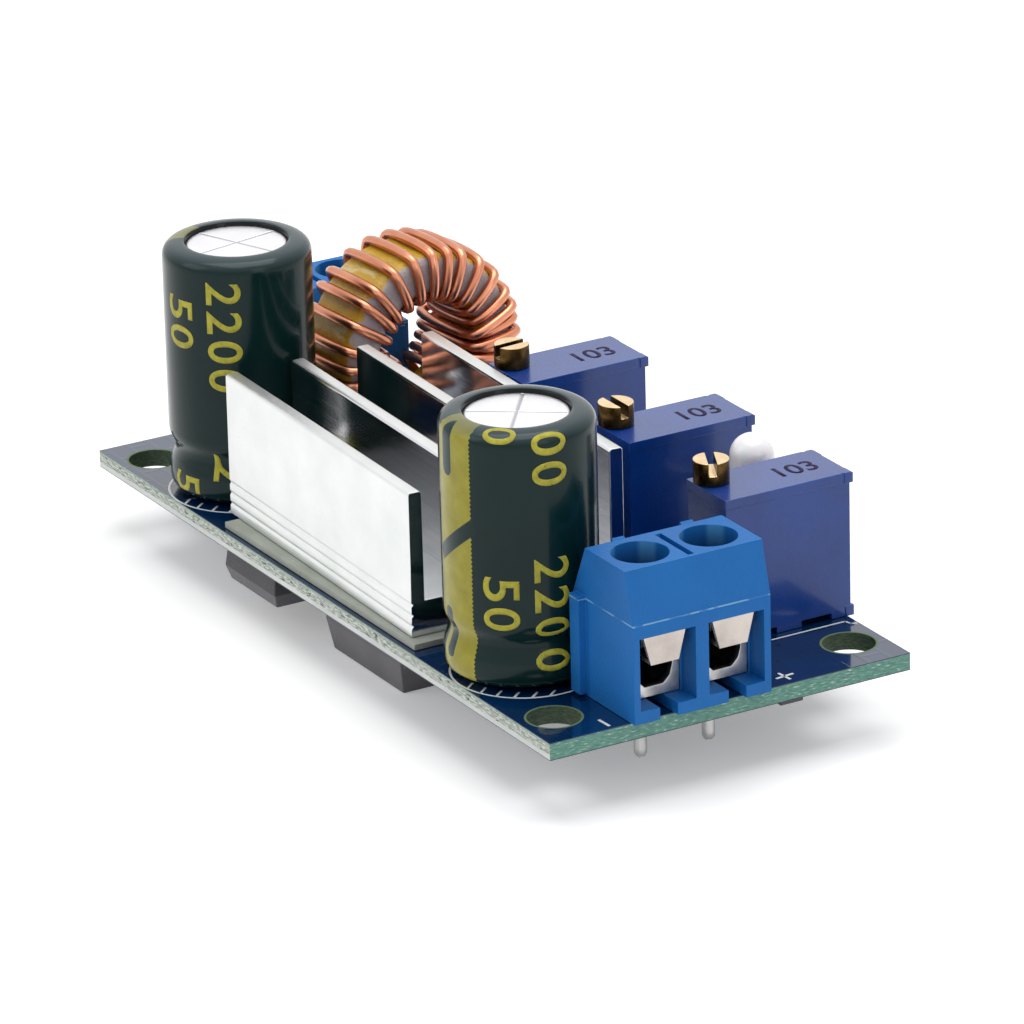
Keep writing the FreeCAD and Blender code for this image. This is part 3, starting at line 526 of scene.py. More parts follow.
def board_finish():
    """Glossy mask on the faces; on the edges and in the holes the bare glass laminate."""
    made = Finish(
        "board mask and edge", Specular_IOR_Level=0.3, Coat_Weight=1.0, Coat_Roughness=0.02, Coat_IOR=1.36,
    )
    tree, seen, (x, y, z), normal = made.start(Cloud_size=7.0, Grain_size=0.1)
    side = ranged(tree, size_of(tree, normal[2]), 0.75, 0.6)
    bare = times(tree, side, ranged(tree, size_of(tree, minus(tree, z, BOARD_TOP / 2)), 0.56, 0.53))

    # Bare laminate: strands of glass along the routed edges
    along = plus(tree, x, y)
    strands = noise(tree, merged(tree, times(tree, plus(tree, along, z), 1.6), times(tree, z, 7.0)), 1.3, 3.0)
    cloth = ranged(tree, strands, 0.35, 0.65)
    edge_tint = blended(tree, cloth, (82, 132, 120), (118, 160, 146))
    edge_tint = blended(tree, times(tree, ranged(tree, strands, 0.62, 0.68), 0.8), edge_tint, (206, 222, 206))

    # The front edge is sawn: torn above, a pale band below
    sawn = blended(tree, ranged(tree, strands, 0.42, 0.58), (150, 160, 152), (210, 214, 206))
    torn_at = merged(tree, times(tree, along, 0.4), times(tree, z, 1.7))
    chips = use(tree, GRAIN, Place=torn_at, Cloud_size=0.8, Grain_size=0.1, Speck_size=0.24, Speck_share=0.62)
    torn = times(tree, chips["Specks"], ranged(tree, chips["Cloud"], 0.35, 0.65, 0.25, 1.0))
    sawn = blended(tree, torn, sawn, (84, 92, 90))
    pale_band = blended(tree, seen["Cloud"], (226, 229, 227), (202, 207, 204))
    sawn = blended(tree, ranged(tree, z, 0.42, 0.36), sawn, pale_band)
    sawn = blended(tree, times(tree, ranged(tree, z, 0.95, 1.02), 0.6), sawn, (150, 176, 156))
    edge_tint = blended(tree, ranged(tree, normal[1], -0.7, -0.9), edge_tint, sawn)

    # Bare rings at the mounting holes, their walls painted dark as painted shade inside the holes, and the small
    # holes between the layers painted near black as painted shade
    rim = made.rings([(*place, 0) for place in HOLE_PLACES], Radius=1.76, Half_width=0.14, Soft_edge=0.04)
    lip = blended(tree, side, (96, 118, 84), blended(tree, cloth, (38, 58, 50), (74, 88, 62)))
    pits = made.rings([(*place, 0) for place in VIAS], Radius=0.0, Half_width=0.15, Soft_edge=0.05)
    tint = blended(tree, seen["Cloud"], (2, 32, 66), (4, 44, 86))
    tint = blended(tree, pits, tint, (4, 12, 24))
    made.feed("Base Color", blended(tree, rim, blended(tree, bare, tint, edge_tint), lip))

    raw = larger(tree, bare, rim, pits)
    gloss = ranged(tree, seen["Grain"], 0.0, 1.0, 0.1, 0.16)
    made.feed("Roughness", plus(tree, gloss, times(tree, raw, 0.5)))
    made.feed("Coat Weight", minus(tree, 1.0, raw))
    tracks = {"Vector": made.local((3.0, 1.0, 0)), "Scale": 0.16, "Mortar Size": 0.03, "Mortar Smooth": 0.4}
    made.bump(add(tree, "ShaderNodeTexBrick", tracks).outputs["Fac"], 0.02, 0.4)
    made.bump(times(tree, strands, bare), 0.06)
    return made


def sleeve_finish(name, place, stripe_from, stripe_to, bars, arms):
    """Shrunk sleeve with its stripe; bars and arms are marks on the stripe, in degrees round and mm up."""
    made = Finish(
        name, place=(*place, BOARD_TOP), Specular_IOR_Level=0.16, Coat_Weight=0.25, Coat_Roughness=0.04, Coat_IOR=1.3,
    )
    tree, seen, (x, y, z), _ = made.start(Cloud_size=6.0, Grain_size=0.25)
    round_it = times(tree, calc(tree, "ARCTAN2", y, x), CAN_RADIUS)
    unrolled = merged(tree, round_it, z)
    teeth = times(tree, calc(tree, "SINE", times(tree, z, 21.0)), 0.045)
    arc = math.radians(1.0) * CAN_RADIUS
    stripe = use(
        tree, BAR, Place=merged(tree, plus(tree, round_it, teeth), z), Middle_X=(stripe_from + stripe_to) / 2 * arc,
        Middle_Y=9.0, Half_X=(stripe_to - stripe_from) / 2 * arc, Half_Y=9.6, Rounding=0.01, Soft_edge=0.06,
    )["Mask"]
    flecks = made.grain(Cloud_size=1.2, Grain_size=0.1, Speck_size=0.13, Speck_share=0.22)
    stripe_tint = blended(tree, flecks["Cloud"], (170, 160, 48), (192, 182, 62))
    stripe_tint = blended(tree, times(tree, flecks["Specks"], 0.55), stripe_tint, (104, 100, 40))
    base = blended(tree, seen["Cloud"], (4, 30, 30), (8, 38, 37))
    base = blended(tree, stripe, base, stripe_tint)
    # Partly the paler stretched film of the crown, partly a painted reflection of the overhead light: the crown is
    # painted grey-blue.
    base = blended(tree, times(tree, ranged(tree, z, *CROWN), 0.5), base, (74, 88, 94))
    # Painted shade: the inner lip of the sleeve beside the vent is painted near black.
    base = blended(tree, ranged(tree, reach(tree, x, y), VENT_EDGE + 0.08, VENT_EDGE + 0.04), base, (8, 16, 18))
    for at, low, high, wide in bars:
        half = wide * arc / 2
        mark = use(
            tree, BAR, Place=unrolled, Middle_X=at * arc, Middle_Y=(low + high) / 2, Half_X=half,
            Half_Y=(high - low) / 2, Rounding=half * 0.95, Soft_edge=0.06,
        )["Mask"]
        base = blended(tree, mark, base, (14, 44, 46))
    for at, up, lean, long, wide in arms:
        turned_to = {"Vector": unrolled, "Location": (at * arc, up, 0), "Rotation": (0, 0, math.radians(lean))}
        leaning = add(tree, "ShaderNodeMapping", turned_to, vector_type="TEXTURE").outputs[0]
        mark = use(tree, BAR, Place=leaning, Half_X=long / 2, Half_Y=wide / 2, Rounding=0.05, Soft_edge=0.06)["Mask"]
        base = blended(tree, mark, base, (8, 36, 36))
    made.feed("Base Color", base)
    made.rough(seen["Cloud"], 0.14, 0.24)
    made.bump(seen["Cloud"], 0.03, 0.5)
    made.bump(seen["Grain"], 0.002)
    return made


def vent_finish(name, place, turns):
    """Bare can top with its scored cross; the score lines and the bend of the rim are painted grey as painted shade.
    """
    made = Finish(name, place=(*place, BOARD_TOP), Metallic=1.0)
    tree = made.tree
    seen = made.grain(Cloud_size=2.5, Grain_size=0.12)
    score = None
    for turn in turns:
        at = made.local((*place, 0), (0, 0, turn))
        mark = use(tree, BAR, Place=at, Half_X=3.2, Half_Y=0.09, Rounding=0.05, Soft_edge=0.12)["Mask"]
        score = larger(tree, score, mark)
    rim = use(tree, RING, Place=made.place, Radius=3.42, Half_width=0.1, Soft_edge=0.1)["Mask"]
    base = blended(tree, seen["Cloud"], (250, 250, 251), (241, 241, 244))
    # Painted shade: grey in the scored lines and along the rim's bend.
    made.feed("Base Color", blended(tree, larger(tree, score, rim), base, (190, 187, 196)))
    made.rough(seen["Grain"], 0.3, 0.42)
    made.bump(minus(tree, 1.0, score), 0.06)
    made.bump(seen["Grain"], 0.003)
    return made


def core_finish():
    """Powder core: yellow coat worn to cream along its length, grey-white on the flat sides."""
    made = Finish(
        "core coating", place=(*CHOKE_PLACE, choke_height()), turn=(0, 0, CHOKE_TURN), Specular_IOR_Level=0.4
    )
    tree, seen, (x, y, z), _ = made.start(Cloud_size=2.2, Grain_size=0.14, Speck_size=0.3, Speck_share=0.12)
    wander = times(tree, minus(tree, noise(tree, made.place, 1.6, 3.0), 0.5), 1.3)
    white = ranged(tree, plus(tree, x, wander), 2.38, 2.5)
    worn = noise(tree, merged(tree, times(tree, x, 0.35), y, z), 0.75, 4.0, Roughness=0.65)
    yellow = blended(tree, seen["Cloud"], (202, 164, 46), (176, 134, 30))
    yellow = blended(tree, times(tree, ranged(tree, worn, 0.54, 0.64), 0.75), yellow, (214, 200, 146))
    pale = blended(tree, seen["Cloud"], (184, 178, 182), (160, 154, 160))
    base = blended(tree, white, yellow, pale)
    made.feed("Base Color", blended(tree, times(tree, seen["Specks"], 0.45), base, (112, 88, 40)))
    made.rough(seen["Grain"], 0.26, 0.42)
    made.bump(worn, 0.12, 0.6)
    made.bump(seen["Grain"], 0.015)
    return made


def copper_finish():
    """Enamelled copper wire, darker where the enamel is rubbed."""
    made = Finish("enamelled copper", Metallic=1.0, Coat_Weight=0.6, Coat_Roughness=0.1, Coat_IOR=1.4)
    seen = made.grain(Cloud_size=1.8, Grain_size=0.12, Speck_size=0.16, Speck_share=0.1)
    base = blended(made.tree, seen["Cloud"], (224, 152, 118), (202, 126, 93))
    made.feed("Base Color", blended(made.tree, times(made.tree, seen["Specks"], 0.5), base, (120, 58, 38)))
    made.rough(seen["Cloud"], 0.26, 0.36)
    made.bump(seen["Cloud"], 0.02, 0.6)
    return made


def package_finish(name, parting, upper, lower):
    """A moulded chip body with one tint above its parting line and one below."""
    made = Finish(name, Specular_IOR_Level=0.3)
    tree, seen, (_, _, z), _ = made.start(Cloud_size=3.0, Grain_size=0.1, Speck_size=0.2, Speck_share=0.04)
    tint = blended(tree, ranged(tree, z, parting + 0.04, parting - 0.04), upper, lower)
    tint = blended(tree, times(tree, seen["Cloud"], 0.25), tint, (60, 60, 64))
    made.feed("Base Color", blended(tree, times(tree, seen["Specks"], 0.4), tint, (200, 200, 198)))
    made.rough(seen["Grain"], 0.45, 0.62)
    made.bump(seen["Grain"], 0.012)
    return made


def corner_highlight_mask(tree, normal):
    """Where a moulding's corners are rounded, between its flat faces: the mask for their painted highlights."""
    return ranged(tree, larger(tree, *[size_of(tree, side) for side in normal]), 0.92, 0.84)


def sink_finish():
    """Drawn aluminium: satin white outer wall, mirror-like between the fins, with fine drawing lines."""
    made = Finish("drawn aluminium", place=(*SINK_CENTRE, 0), turn=(0, 0, SINK_TURN), Metallic=1.0)
    tree, seen, (_, y, _), normal = made.start(Cloud_size=3.0, Grain_size=0.16, Speck_size=0.2, Speck_share=0.1)
    lines = use(tree, DRAWN, Place=made.place, Line_width=0.06, Line_length=20.0)["Lines"]
    wall = times(tree, ranged(tree, y, SINK_WALL + 0.9, SINK_WALL + 0.7), ranged(tree, normal[1], -0.6, -0.8))
    satin = larger(tree, wall, ranged(tree, normal[2], 0.7, 0.85))
    drawn = blended(tree, lines, (214, 215, 220), (232, 232, 236))
    white = blended(tree, seen["Cloud"], (229, 231, 230), (220, 223, 222))
    base = blended(tree, satin, drawn, white)
    made.feed("Base Color", blended(tree, times(tree, seen["Specks"], 0.3), base, (190, 190, 190)))
    smooth_face = ranged(tree, lines, 0.0, 1.0, 0.08, 0.15)
    satin_face = ranged(tree, seen["Grain"], 0.0, 1.0, 0.36, 0.48)
    made.feed("Roughness", plus(tree, smooth_face, times(tree, minus(tree, satin_face, smooth_face), satin)))
    made.bump(lines, 0.0012)
    made.bump(times(tree, seen["Grain"], wall), 0.006)
    return made


def terminal_finish():
    """Terminal moulding: painted highlights along its rounded corners, the flash line of the mould round its
    shoulder, and painted shade down the walls of the screw wells.
    """
    made = Finish("terminal moulding")
    tree, seen, (_, _, z), normal = made.start(Cloud_size=5.0, Grain_size=0.16)
    base = blended(tree, seen["Cloud"], (16, 98, 170), (24, 108, 182))
    # Painted highlight: the rounded corners are painted paler blue.
    base = blended(tree, times(tree, corner_highlight_mask(tree, normal), 0.55), base, (92, 168, 220))
    shoulder, top = BOARD_TOP + BLOCK_SHOULDER, BOARD_TOP + BLOCK_TOP
    broken = ranged(tree, noise(tree, made.place, 0.9, 2.0), 0.42, 0.5, 0.1, 0.75)
    flash = times(tree, ranged(tree, size_of(tree, minus(tree, z, shoulder)), 0.07, 0.03), broken)
    base = blended(tree, flash, base, (140, 190, 220))
    bores = [
        (x + CLAMP_AHEAD * math.cos(math.radians(turn)), y + aside, 0)
        for x, y, turn in TERMINALS.values() for aside in (-PIN_ASIDE, PIN_ASIDE)
    ]
    # Painted shade: the walls of the screw wells are painted dark blue, with less gloss, as the shade inside them.
    wells = made.rings(bores, Radius=0.0, Half_width=2.3, Soft_edge=0.2)
    wells = times(tree, wells, ranged(tree, z, top - 0.1, top - 1.6))
    wells = times(tree, wells, ranged(tree, z, shoulder, shoulder + 0.3))
    shaded_well_walls = times(tree, wells, ranged(tree, size_of(tree, normal[2]), 0.3, 0.1))
    made.feed("Base Color", blended(tree, times(tree, shaded_well_walls, 0.85), base, (2, 30, 76)))
    made.feed("Specular IOR Level", ranged(tree, shaded_well_walls, 0.0, 1.0, 0.25, 0.05))
    made.rough(mixed(tree, seen["Grain"], seen["Cloud"], 0.5), 0.4, 0.55)
    made.bump(seen["Grain"], 0.012)
    made.bump(flash, 0.04)
    return made


def trimmer_finish():
    """Glossy deep blue moulding, with painted highlights along its corners."""
    made = Finish("trimmer moulding", Specular_IOR_Level=0.2, Coat_Weight=1.0, Coat_Roughness=0.12, Coat_IOR=1.4)
    tree, seen, _, normal = made.start(Cloud_size=4.0, Grain_size=0.12)
    base = blended(tree, seen["Cloud"], (0, 52, 126), (2, 60, 142))
    # Painted highlight: the rounded corners are painted paler blue.
    made.feed("Base Color", blended(tree, times(tree, corner_highlight_mask(tree, normal), 0.45), base, (50, 108, 204)))
    made.rough(seen["Grain"], 0.26, 0.4)
    made.bump(seen["Grain"], 0.005)
    return made


def cage_finish():
    """Plated cages: bright at the mouth, dark brown further inside."""
    made = Finish("plated cage", Metallic=1.0)
    tree, seen, (x, _, z), _ = made.start(Cloud_size=0.9, Grain_size=0.14)
    deep = None
    for middle, _, turn in TERMINALS.values():
        ahead = times(tree, minus(tree, x, middle), 1 if turn == 0 else -1)
        deep = larger(tree, deep, times(tree, ranged(tree, ahead, 1.7, 1.3), ranged(tree, ahead, -6.0, -5.0)))
    deep = times(tree, deep, ranged(tree, z, BOARD_TOP, BOARD_TOP + 0.2))
    bright = blended(tree, seen["Cloud"], (216, 213, 210), (178, 176, 174))
    brown = blended(tree, seen["Cloud"], (112, 76, 42), (64, 42, 24))
    made.feed("Base Color", blended(tree, deep, bright, brown))
    made.rough(seen["Grain"], 0.3, 0.42)
    made.bump(seen["Cloud"], 0.01, 0.5)
    return made


def brass_finish():
    """Turned brass, with painted light: the faces that look up are painted pale as a highlight, the sides painted
    dark as shade.
    """
    made = Finish("turned brass", Metallic=1.0)
    tree, seen, _, normal = made.start(Cloud_size=0.7, Grain_size=0.1)
    bright = blended(tree, seen["Cloud"], (252, 226, 184), (236, 204, 154))
    painted_shade_sides = blended(tree, seen["Cloud"], (104, 80, 44), (62, 46, 22))
    # Painted highlight on the upward faces, painted shade on the sides.
    made.feed("Base Color", blended(tree, ranged(tree, normal[2], 0.6, 0.85), painted_shade_sides, bright))
    made.rough(seen["Grain"], 0.26, 0.38)
    made.bump(seen["Grain"], 0.004)
    return made


def chip_row_finish(name, first, step, body_half, base, shade, ends, rough):
    """A row of chip parts along X: bodies between tinned ends."""
    made = Finish(name, IOR=1.5)
    tree, seen, (x, _, _), _ = made.start(Cloud_size=1.0, Grain_size=0.08)
    along = size_of(tree, calc(tree, "WRAP", minus(tree, x, first), step / 2, -step / 2))
    tinned = ranged(tree, along, body_half - 0.02, body_half + 0.02)
    made.feed("Base Color", blended(tree, tinned, blended(tree, seen["Cloud"], base, shade), ends))
    made.feed("Metallic", tinned)
    made.rough(seen["Grain"], *rough)
    made.bump(seen["Grain"], 0.006)
    return made


# Ring choke


def wire_radii():
    half = WIRE_DIA / 2
    outside = CORE_OUTER / 2 + WIRE_GAP_OUTSIDE + half
    return outside, CORE_BORE / 2 - WIRE_GAP_BORE - half, CORE_WIDTH / 2 + WIRE_GAP_SIDE + half


def choke_height():
    return BOARD_TOP + CHOKE_ABOVE_BOARD + WIRE_DIA / 2 + wire_radii()[0]


def ring_point(along, radius, angle):
    return Vector((along, radius * math.cos(math.radians(angle)), radius * math.sin(math.radians(angle))))


def bore_angle(angle):
    return angle + BORE_LEAN * math.sin(math.radians(angle - BORE_LEAN_FROM))


def winding_corners():
    """The corners of the wire, turn by turn, as the winder lays them."""
    outside, bore, side = wire_radii()
    angles = [FIRST_TURN]
    for step in TURN_STEPS:
        angles.append(angles[-1] - step)
    corners = []
    lifted = False
    last_low = None
    for this, following in zip(angles, angles[1:]):
        inner = bore_angle(this)
        room = bore * math.radians(last_low - inner) if last_low is not None else WIRE_DIA * 2
        lifted = not lifted and room < WIRE_DIA + BORE_ROOM
        if not lifted:
            last_low = inner
        up = LIFT_SIDE if lifted else 0.0
        low = bore - LIFT_BORE if lifted else bore
        corners.append(ring_point(side + up * LIFT_OUTSIDE, outside, this))
        corners.append(ring_point(side + up, low, inner))
        corners.append(ring_point(-side - up, low, inner - (this - following) / 4))
        corners.append(ring_point(-side - up * LIFT_OUTSIDE, outside, following))
    return corners


def choke_place(point):
    turn = Matrix.Rotation(math.radians(CHOKE_TURN), 4, "Z")
    return Matrix.Translation((*CHOKE_PLACE, choke_height())) @ turn @ point


def choke_ends():
    corners = winding_corners()
    return [choke_place(corners[0]), choke_place(corners[-1])]


def winding():
    """One round wire over the whole winding, bent by hand at every corner."""
    corners = [choke_place(point) for point in winding_corners()]
    first, last = corners[0], corners[-1]
    corners = [Vector((first.x, first.y, WIRE_END))] + corners + [Vector((last.x, last.y, WIRE_END))]
    route = [corners[0]]
    for before, corner, after in zip(corners, corners[1:], corners[2:]):
        for neighbour in (before, after):
            gap = neighbour - corner
            route.append(corner + gap.normalized() * min(BEND_EASE, gap.length * 0.4))
    route.append(corners[-1])
    curve = bpy.data.curves.new("inductor_wire", "CURVE")
    curve.dimensions = "3D"
    curve.bevel_depth = WIRE_SHOWN / 2 * MM
    curve.bevel_resolution = 3
    curve.use_fill_caps = True
    curve.resolution_u = 4
    spline = curve.splines.new("NURBS")
    spline.points.add(len(route) - 1)
    for point, place in zip(spline.points, route):
        point.co = (*(place * MM), 1.0)
    spline.order_u = 3
    spline.use_endpoint_u = True
    piece = bpy.data.objects.new("inductor_wire", curve)
    scene.collection.objects.link(piece)
    take(piece)
    bpy.ops.object.convert(target="MESH")
    piece = named("inductor_wire")
    outward(piece, 0.001)
    smooth(piece, 60)
    given(piece, copper_finish(), "inductor_winding")


def core():
    """The coated ring, with the round corners of its coating."""
    half = CORE_WIDTH / 2
    outer, bore, corner = COAT_OUTER / 2, CORE_BORE / 2, COAT_CORNER
    outline = []
    for centre_r, centre_z, start in (
        (outer - corner, -half + corner, -90), (outer - corner, half - corner, 0),
        (bore + corner, half - corner, 90), (bore + corner, -half + corner, 180),
    ):
        for i in range(6):
            step = math.radians(start + 18 * i)
            outline.append((centre_r + corner * math.cos(step), centre_z + corner * math.sin(step)))
    piece = closed_ring("inductor_ring", outline, 128)
    place = Matrix.Translation(Vector((*CHOKE_PLACE, choke_height())) * MM)
    turn = Matrix.Rotation(math.radians(CHOKE_TURN), 4, "Z") @ Matrix.Rotation(math.radians(90), 4, "Y")
    piece.data.transform(place @ turn)
    smooth(piece, 50)
    given(piece, core_finish(), "inductor_core")


# Capacitors

SLEEVE = (
    (3.5, 0.36), (4.3, 0.35), (4.55, 0.42), (4.85, 0.62), (5.0, 0.9), (5.06, 1.3), (5.067, 1.75), (5.02, 2.2),
    (4.84, 2.7), (4.7, 3.1), (4.65, 3.4), (4.7, 3.7), (4.86, 4.0), (5.02, 4.35), (5.067, 4.75), (5.067, 10.0),
    (5.067, 16.6), (5.06, 16.9), (5.01, 17.15), (4.9, 17.36), (4.72, 17.53), (4.5, 17.64), (4.2, 17.72),
    (3.9, 17.755), (3.68, 17.775), (3.56, 17.75), (3.5, 17.68), (3.49, 17.2),
)
WALL_END = 16
VENT = ((0, 17.5), (1.2, 17.5), (2.4, 17.5), (3.1, 17.5), (3.3, 17.49), (3.42, 17.42), (3.5, 17.3))

# Print on the sleeves: where each column's feet stand, in degrees, its first top, and its plain number
PRINT = {
    "input_capacitor": ((-93.0, 14.9, "50"), (-53.0, 16.35, "2200")),
    "output_capacitor": ((-58.0, 8.1, "50"), (-20.0, 9.32, "2200")),
}
PRINT_REPEAT = 12.65
PRINT_ADVANCE = 2.05
PRINT_HEIGHT = 2.4
PRINT_WIDTH = 1.6
PRINT_OFF_WALL = 0.3
PRINT_OFF_SHOULDER = 0.05
PRINT_LOWEST = 2.0
PRINT_HIGHEST = 19.0


def on_sleeve(height):
    """Where the sleeve is at a length measured up its wall and on over its shoulder."""
    shoulder = SLEEVE[WALL_END:]
    left = height - shoulder[0][1]
    if left <= 0:
        return CAN_RADIUS + PRINT_OFF_WALL, height
    for (radius, low), (next_radius, next_low) in zip(shoulder, shoulder[1:]):
        step = math.hypot(next_radius - radius, next_low - low)
        if left <= step:
            share = left / step
            out, up = radius + (next_radius - radius) * share, low + (next_low - low) * share
            return out + PRINT_OFF_SHOULDER, up + PRINT_OFF_SHOULDER
        left -= step
    return shoulder[-3]


def glyph(text, feet, top, centre, sleeve):
    """One character of the print, laid on the sleeve: its feet at an angle, its left edge at a height."""
    piece = lettering("print_mark", text, 1.0, 0.012)
    low = Vector([min(v.co[i] for v in piece.data.vertices) for i in range(3)])
    high = Vector([max(v.co[i] for v in piece.data.vertices) for i in range(3)])
    tall = PRINT_HEIGHT / (high.y - low.y) * MM
    wide = PRINT_WIDTH / (high.x - low.x) * MM if text != "1" else tall
    piece.data.transform(Matrix.Diagonal((wide, tall, 1, 1)) @ Matrix.Translation(-low))
    bpy.ops.object.mode_set(mode="EDIT")
    for i in range(1, 12):
        bpy.ops.mesh.select_all(action="SELECT")
        bpy.ops.mesh.bisect(plane_co=(0, PRINT_HEIGHT * i / 12 * MM, 0), plane_no=(0, 1, 0))
        bpy.ops.mesh.select_all(action="SELECT")
        bpy.ops.mesh.bisect(plane_co=(PRINT_WIDTH * i / 12 * MM, 0, 0), plane_no=(1, 0, 0))
    back_to_pieces()
    for vertex in piece.data.vertices:
        angle = math.radians(feet) + vertex.co.y / (CAN_RADIUS * MM)
        radius, height = on_sleeve(top - vertex.co.x / MM)
        place = (centre[0] + radius * math.cos(angle), centre[1] + radius * math.sin(angle), BOARD_TOP + height)
        vertex.co = [value * MM for value in place]
    with_modifier(
        piece, "SHRINKWRAP", target=sleeve, wrap_method="NEAREST_SURFACEPOINT", wrap_mode="ABOVE_SURFACE",
        offset=0.012 * MM,
    )
    return piece


def capacitors():
    print_finish = plain_finish(
        "sleeve print", (182, 175, 64), (154, 148, 52), (0.3, 0.4), cloud=0.5, depth=0.002, specks=0.25,
        speck_colour=(92, 96, 40), Specular_IOR_Level=0.2,
    )
    marks = {
        "input_capacitor": (-163.0, -126.0, (), ()),
        "output_capacitor": (
            -107.0, -67.5, ((-93.0, 14.2, 17.7, 12.0), (-95.0, 1.7, 5.2, 10.0)),
            ((-85.0, 9.95, 38.0, 4.6, 0.95),),
        ),
    }
    crosses = {"input_capacitor": (101.0, 22.0), "output_capacitor": (54.0, 143.0)}
    for node, place in CAP_PLACES.items():
        sleeve = turned(node + "_sleeve", SLEEVE, 128, (*place, BOARD_TOP))
        smooth(sleeve, 50)
        given(sleeve, sleeve_finish(node.replace("_", " ") + " sleeve", place, *marks[node]), node)
        vent = turned(node + "_top", VENT, 96, (*place, BOARD_TOP))
        smooth(vent, 50)
        given(vent, vent_finish(node.replace("_", " ") + " top", place, crosses[node]), node)
        made = []
        for feet, first, text in PRINT[node]:
            for repeat in (-1, 0, 1):
                for i, letter in enumerate(text):
                    top = first + repeat * PRINT_REPEAT - i * PRINT_ADVANCE
                    if top > PRINT_HIGHEST or top < PRINT_LOWEST:
                        continue
                    made.append(glyph(letter, feet, top, place, sleeve))
        mark = joined(node + "_print", made)
        with_modifier(mark, "SOLIDIFY", thickness=0.008 * MM, offset=0.0)
        given(mark, print_finish)


# Lamp


def lamp():
    x, y = LAMP_PLACE
    low, top, radius, rim = 5.15, 10.45, 1.5, 1.8
    outline = [(0, low), (rim - 0.08, low), (rim, low + 0.08), (rim, low + 0.8), (rim - 0.1, low + 0.9)]
    outline += [(radius + 0.04, low + 0.92), (radius, low + 1.0)]
    spring = top - radius
    for i in range(9):
        step = math.radians(i * 10)
        outline.append((radius * math.cos(step), spring + radius * math.sin(step)))
    outline += [(0.02, top), (0, top)]
    piece = turned("lamp_dome", outline, 64, (x, y, BOARD_TOP))
    smooth(piece, 40)
    made = Finish(
        "lamp epoxy", place=(x, y, BOARD_TOP), IOR=1.5, Subsurface_Weight=0.35, Subsurface_Scale=0.6 * MM,
        Coat_Weight=0.5, Coat_Roughness=0.05,
    )
    tree, seen, (_, _, z), _ = made.start(Cloud_size=2.0, Grain_size=0.1)
    # Painted shade: the epoxy is painted greyer down towards the flange and whiter up the dome.
    base = blended(tree, ranged(tree, z, 5.2, 9.5), (222, 226, 232), (248, 249, 251))
    made.feed("Base Color", blended(tree, times(tree, seen["Cloud"], 0.3), base, (236, 238, 243)))
    made.rough(seen["Grain"], 0.12, 0.2)
    made.bump(seen["Cloud"], 0.01, 0.4)
    given(piece, made, "lamp_lens")


# Solder, pads and the board's legend


def choke_leads():
    return [(end.x, end.y, WIRE_LEAD_HALF) for end in choke_ends()]


def lamp_leads():
    x, y = LAMP_PLACE
    return [(x + side * LEAD_PITCH / 2, y, SMALL_PIN_HALF) for side in (-1, 1)]


def lead_places():
    """Every lead that comes through the board: its place, and half its width."""
    places = []
    for x, y in CAP_PLACES.values():
        places += [(x + side * CAN_LEAD_ASIDE, y, CAN_LEAD_HALF) for side in (-1, 1)]
    places += choke_leads()
    for x, y in TRIMMER_PLACES:
        places += [(x, y + i * LEAD_PITCH, SMALL_PIN_HALF) for i in (-1, 0, 1)]
    places += lamp_leads()
    for x, y, _ in TERMINALS.values():
        places += [(x, y + side * PIN_ASIDE, PIN_HALF) for side in (-1, 1)]
    return places


def ring_plate(name, inner, outer, low, thick, sides=40):
    """A flat ring lying at a height."""
    return closed_ring(name, [(inner, low), (outer, low), (outer, low + thick), (inner, low + thick)], sides)


# The tinned end of a terminal's pin, as (radius, height) below the board
PIN_TIP = ((0.44, -0.95), (0.42, -1.5), (0.44, -2.1), (0.43, -2.45), (0.34, -2.64), (0.18, -2.73), (0, -2.745))


def solder():
    """Under each lead one drop of solder, drawn up the lead; small and large ones."""
    finish = metal_finish("tinned metal", (196, 196, 194), (158, 158, 156), (0.18, 0.32), 0.2, 1.0)
    made = []
    for half in sorted({place[2] for place in lead_places()}):
        pad = half + 0.62
        outline = [(pad, 0.0), (pad, -0.06), (pad - 0.1, -0.16), (pad - 0.26, -0.36), (half + 0.16, -0.66)]
        if half == PIN_HALF:
            outline += PIN_TIP
        else:
            outline += [(half + 0.06, -0.95), (half + 0.02, -1.15), (half * 0.5, -1.2), (0, -1.22)]
        drop = turned("drop", outline, 28)
        made += copies(drop, [(x, y, 0) for x, y, width in lead_places() if width == half])
    piece = joined("solder_joints", made)
    smooth(piece, 45)
    given(piece, finish)

    rings = []
    for x, y, half in choke_leads() + lamp_leads():
        rings += copies(ring_plate("pad_ring", half + 0.08, half + 0.5, BOARD_TOP, INK_THICK), [(x, y, 0)])
    piece = joined("bare_rings", rings)
    given(piece, metal_finish("bare pads", (200, 202, 206), (170, 172, 178), (0.25, 0.4), 0.1))


def stroke(start, end, width):
    """One straight stroke of white ink between two places on the board."""
    a, b = Vector((*start, 0)), Vector((*end, 0))
    middle = (a + b) / 2
    piece = boxed("stroke", ((b - a).length + width, width, INK_THICK))
    turn = math.atan2((b - a).y, (b - a).x)
    place = Matrix.Translation(Vector((middle.x, middle.y, BOARD_TOP + INK_THICK / 2)) * MM)
    piece.data.transform(place @ Matrix.Rotation(turn, 4, "Z"))
    return piece


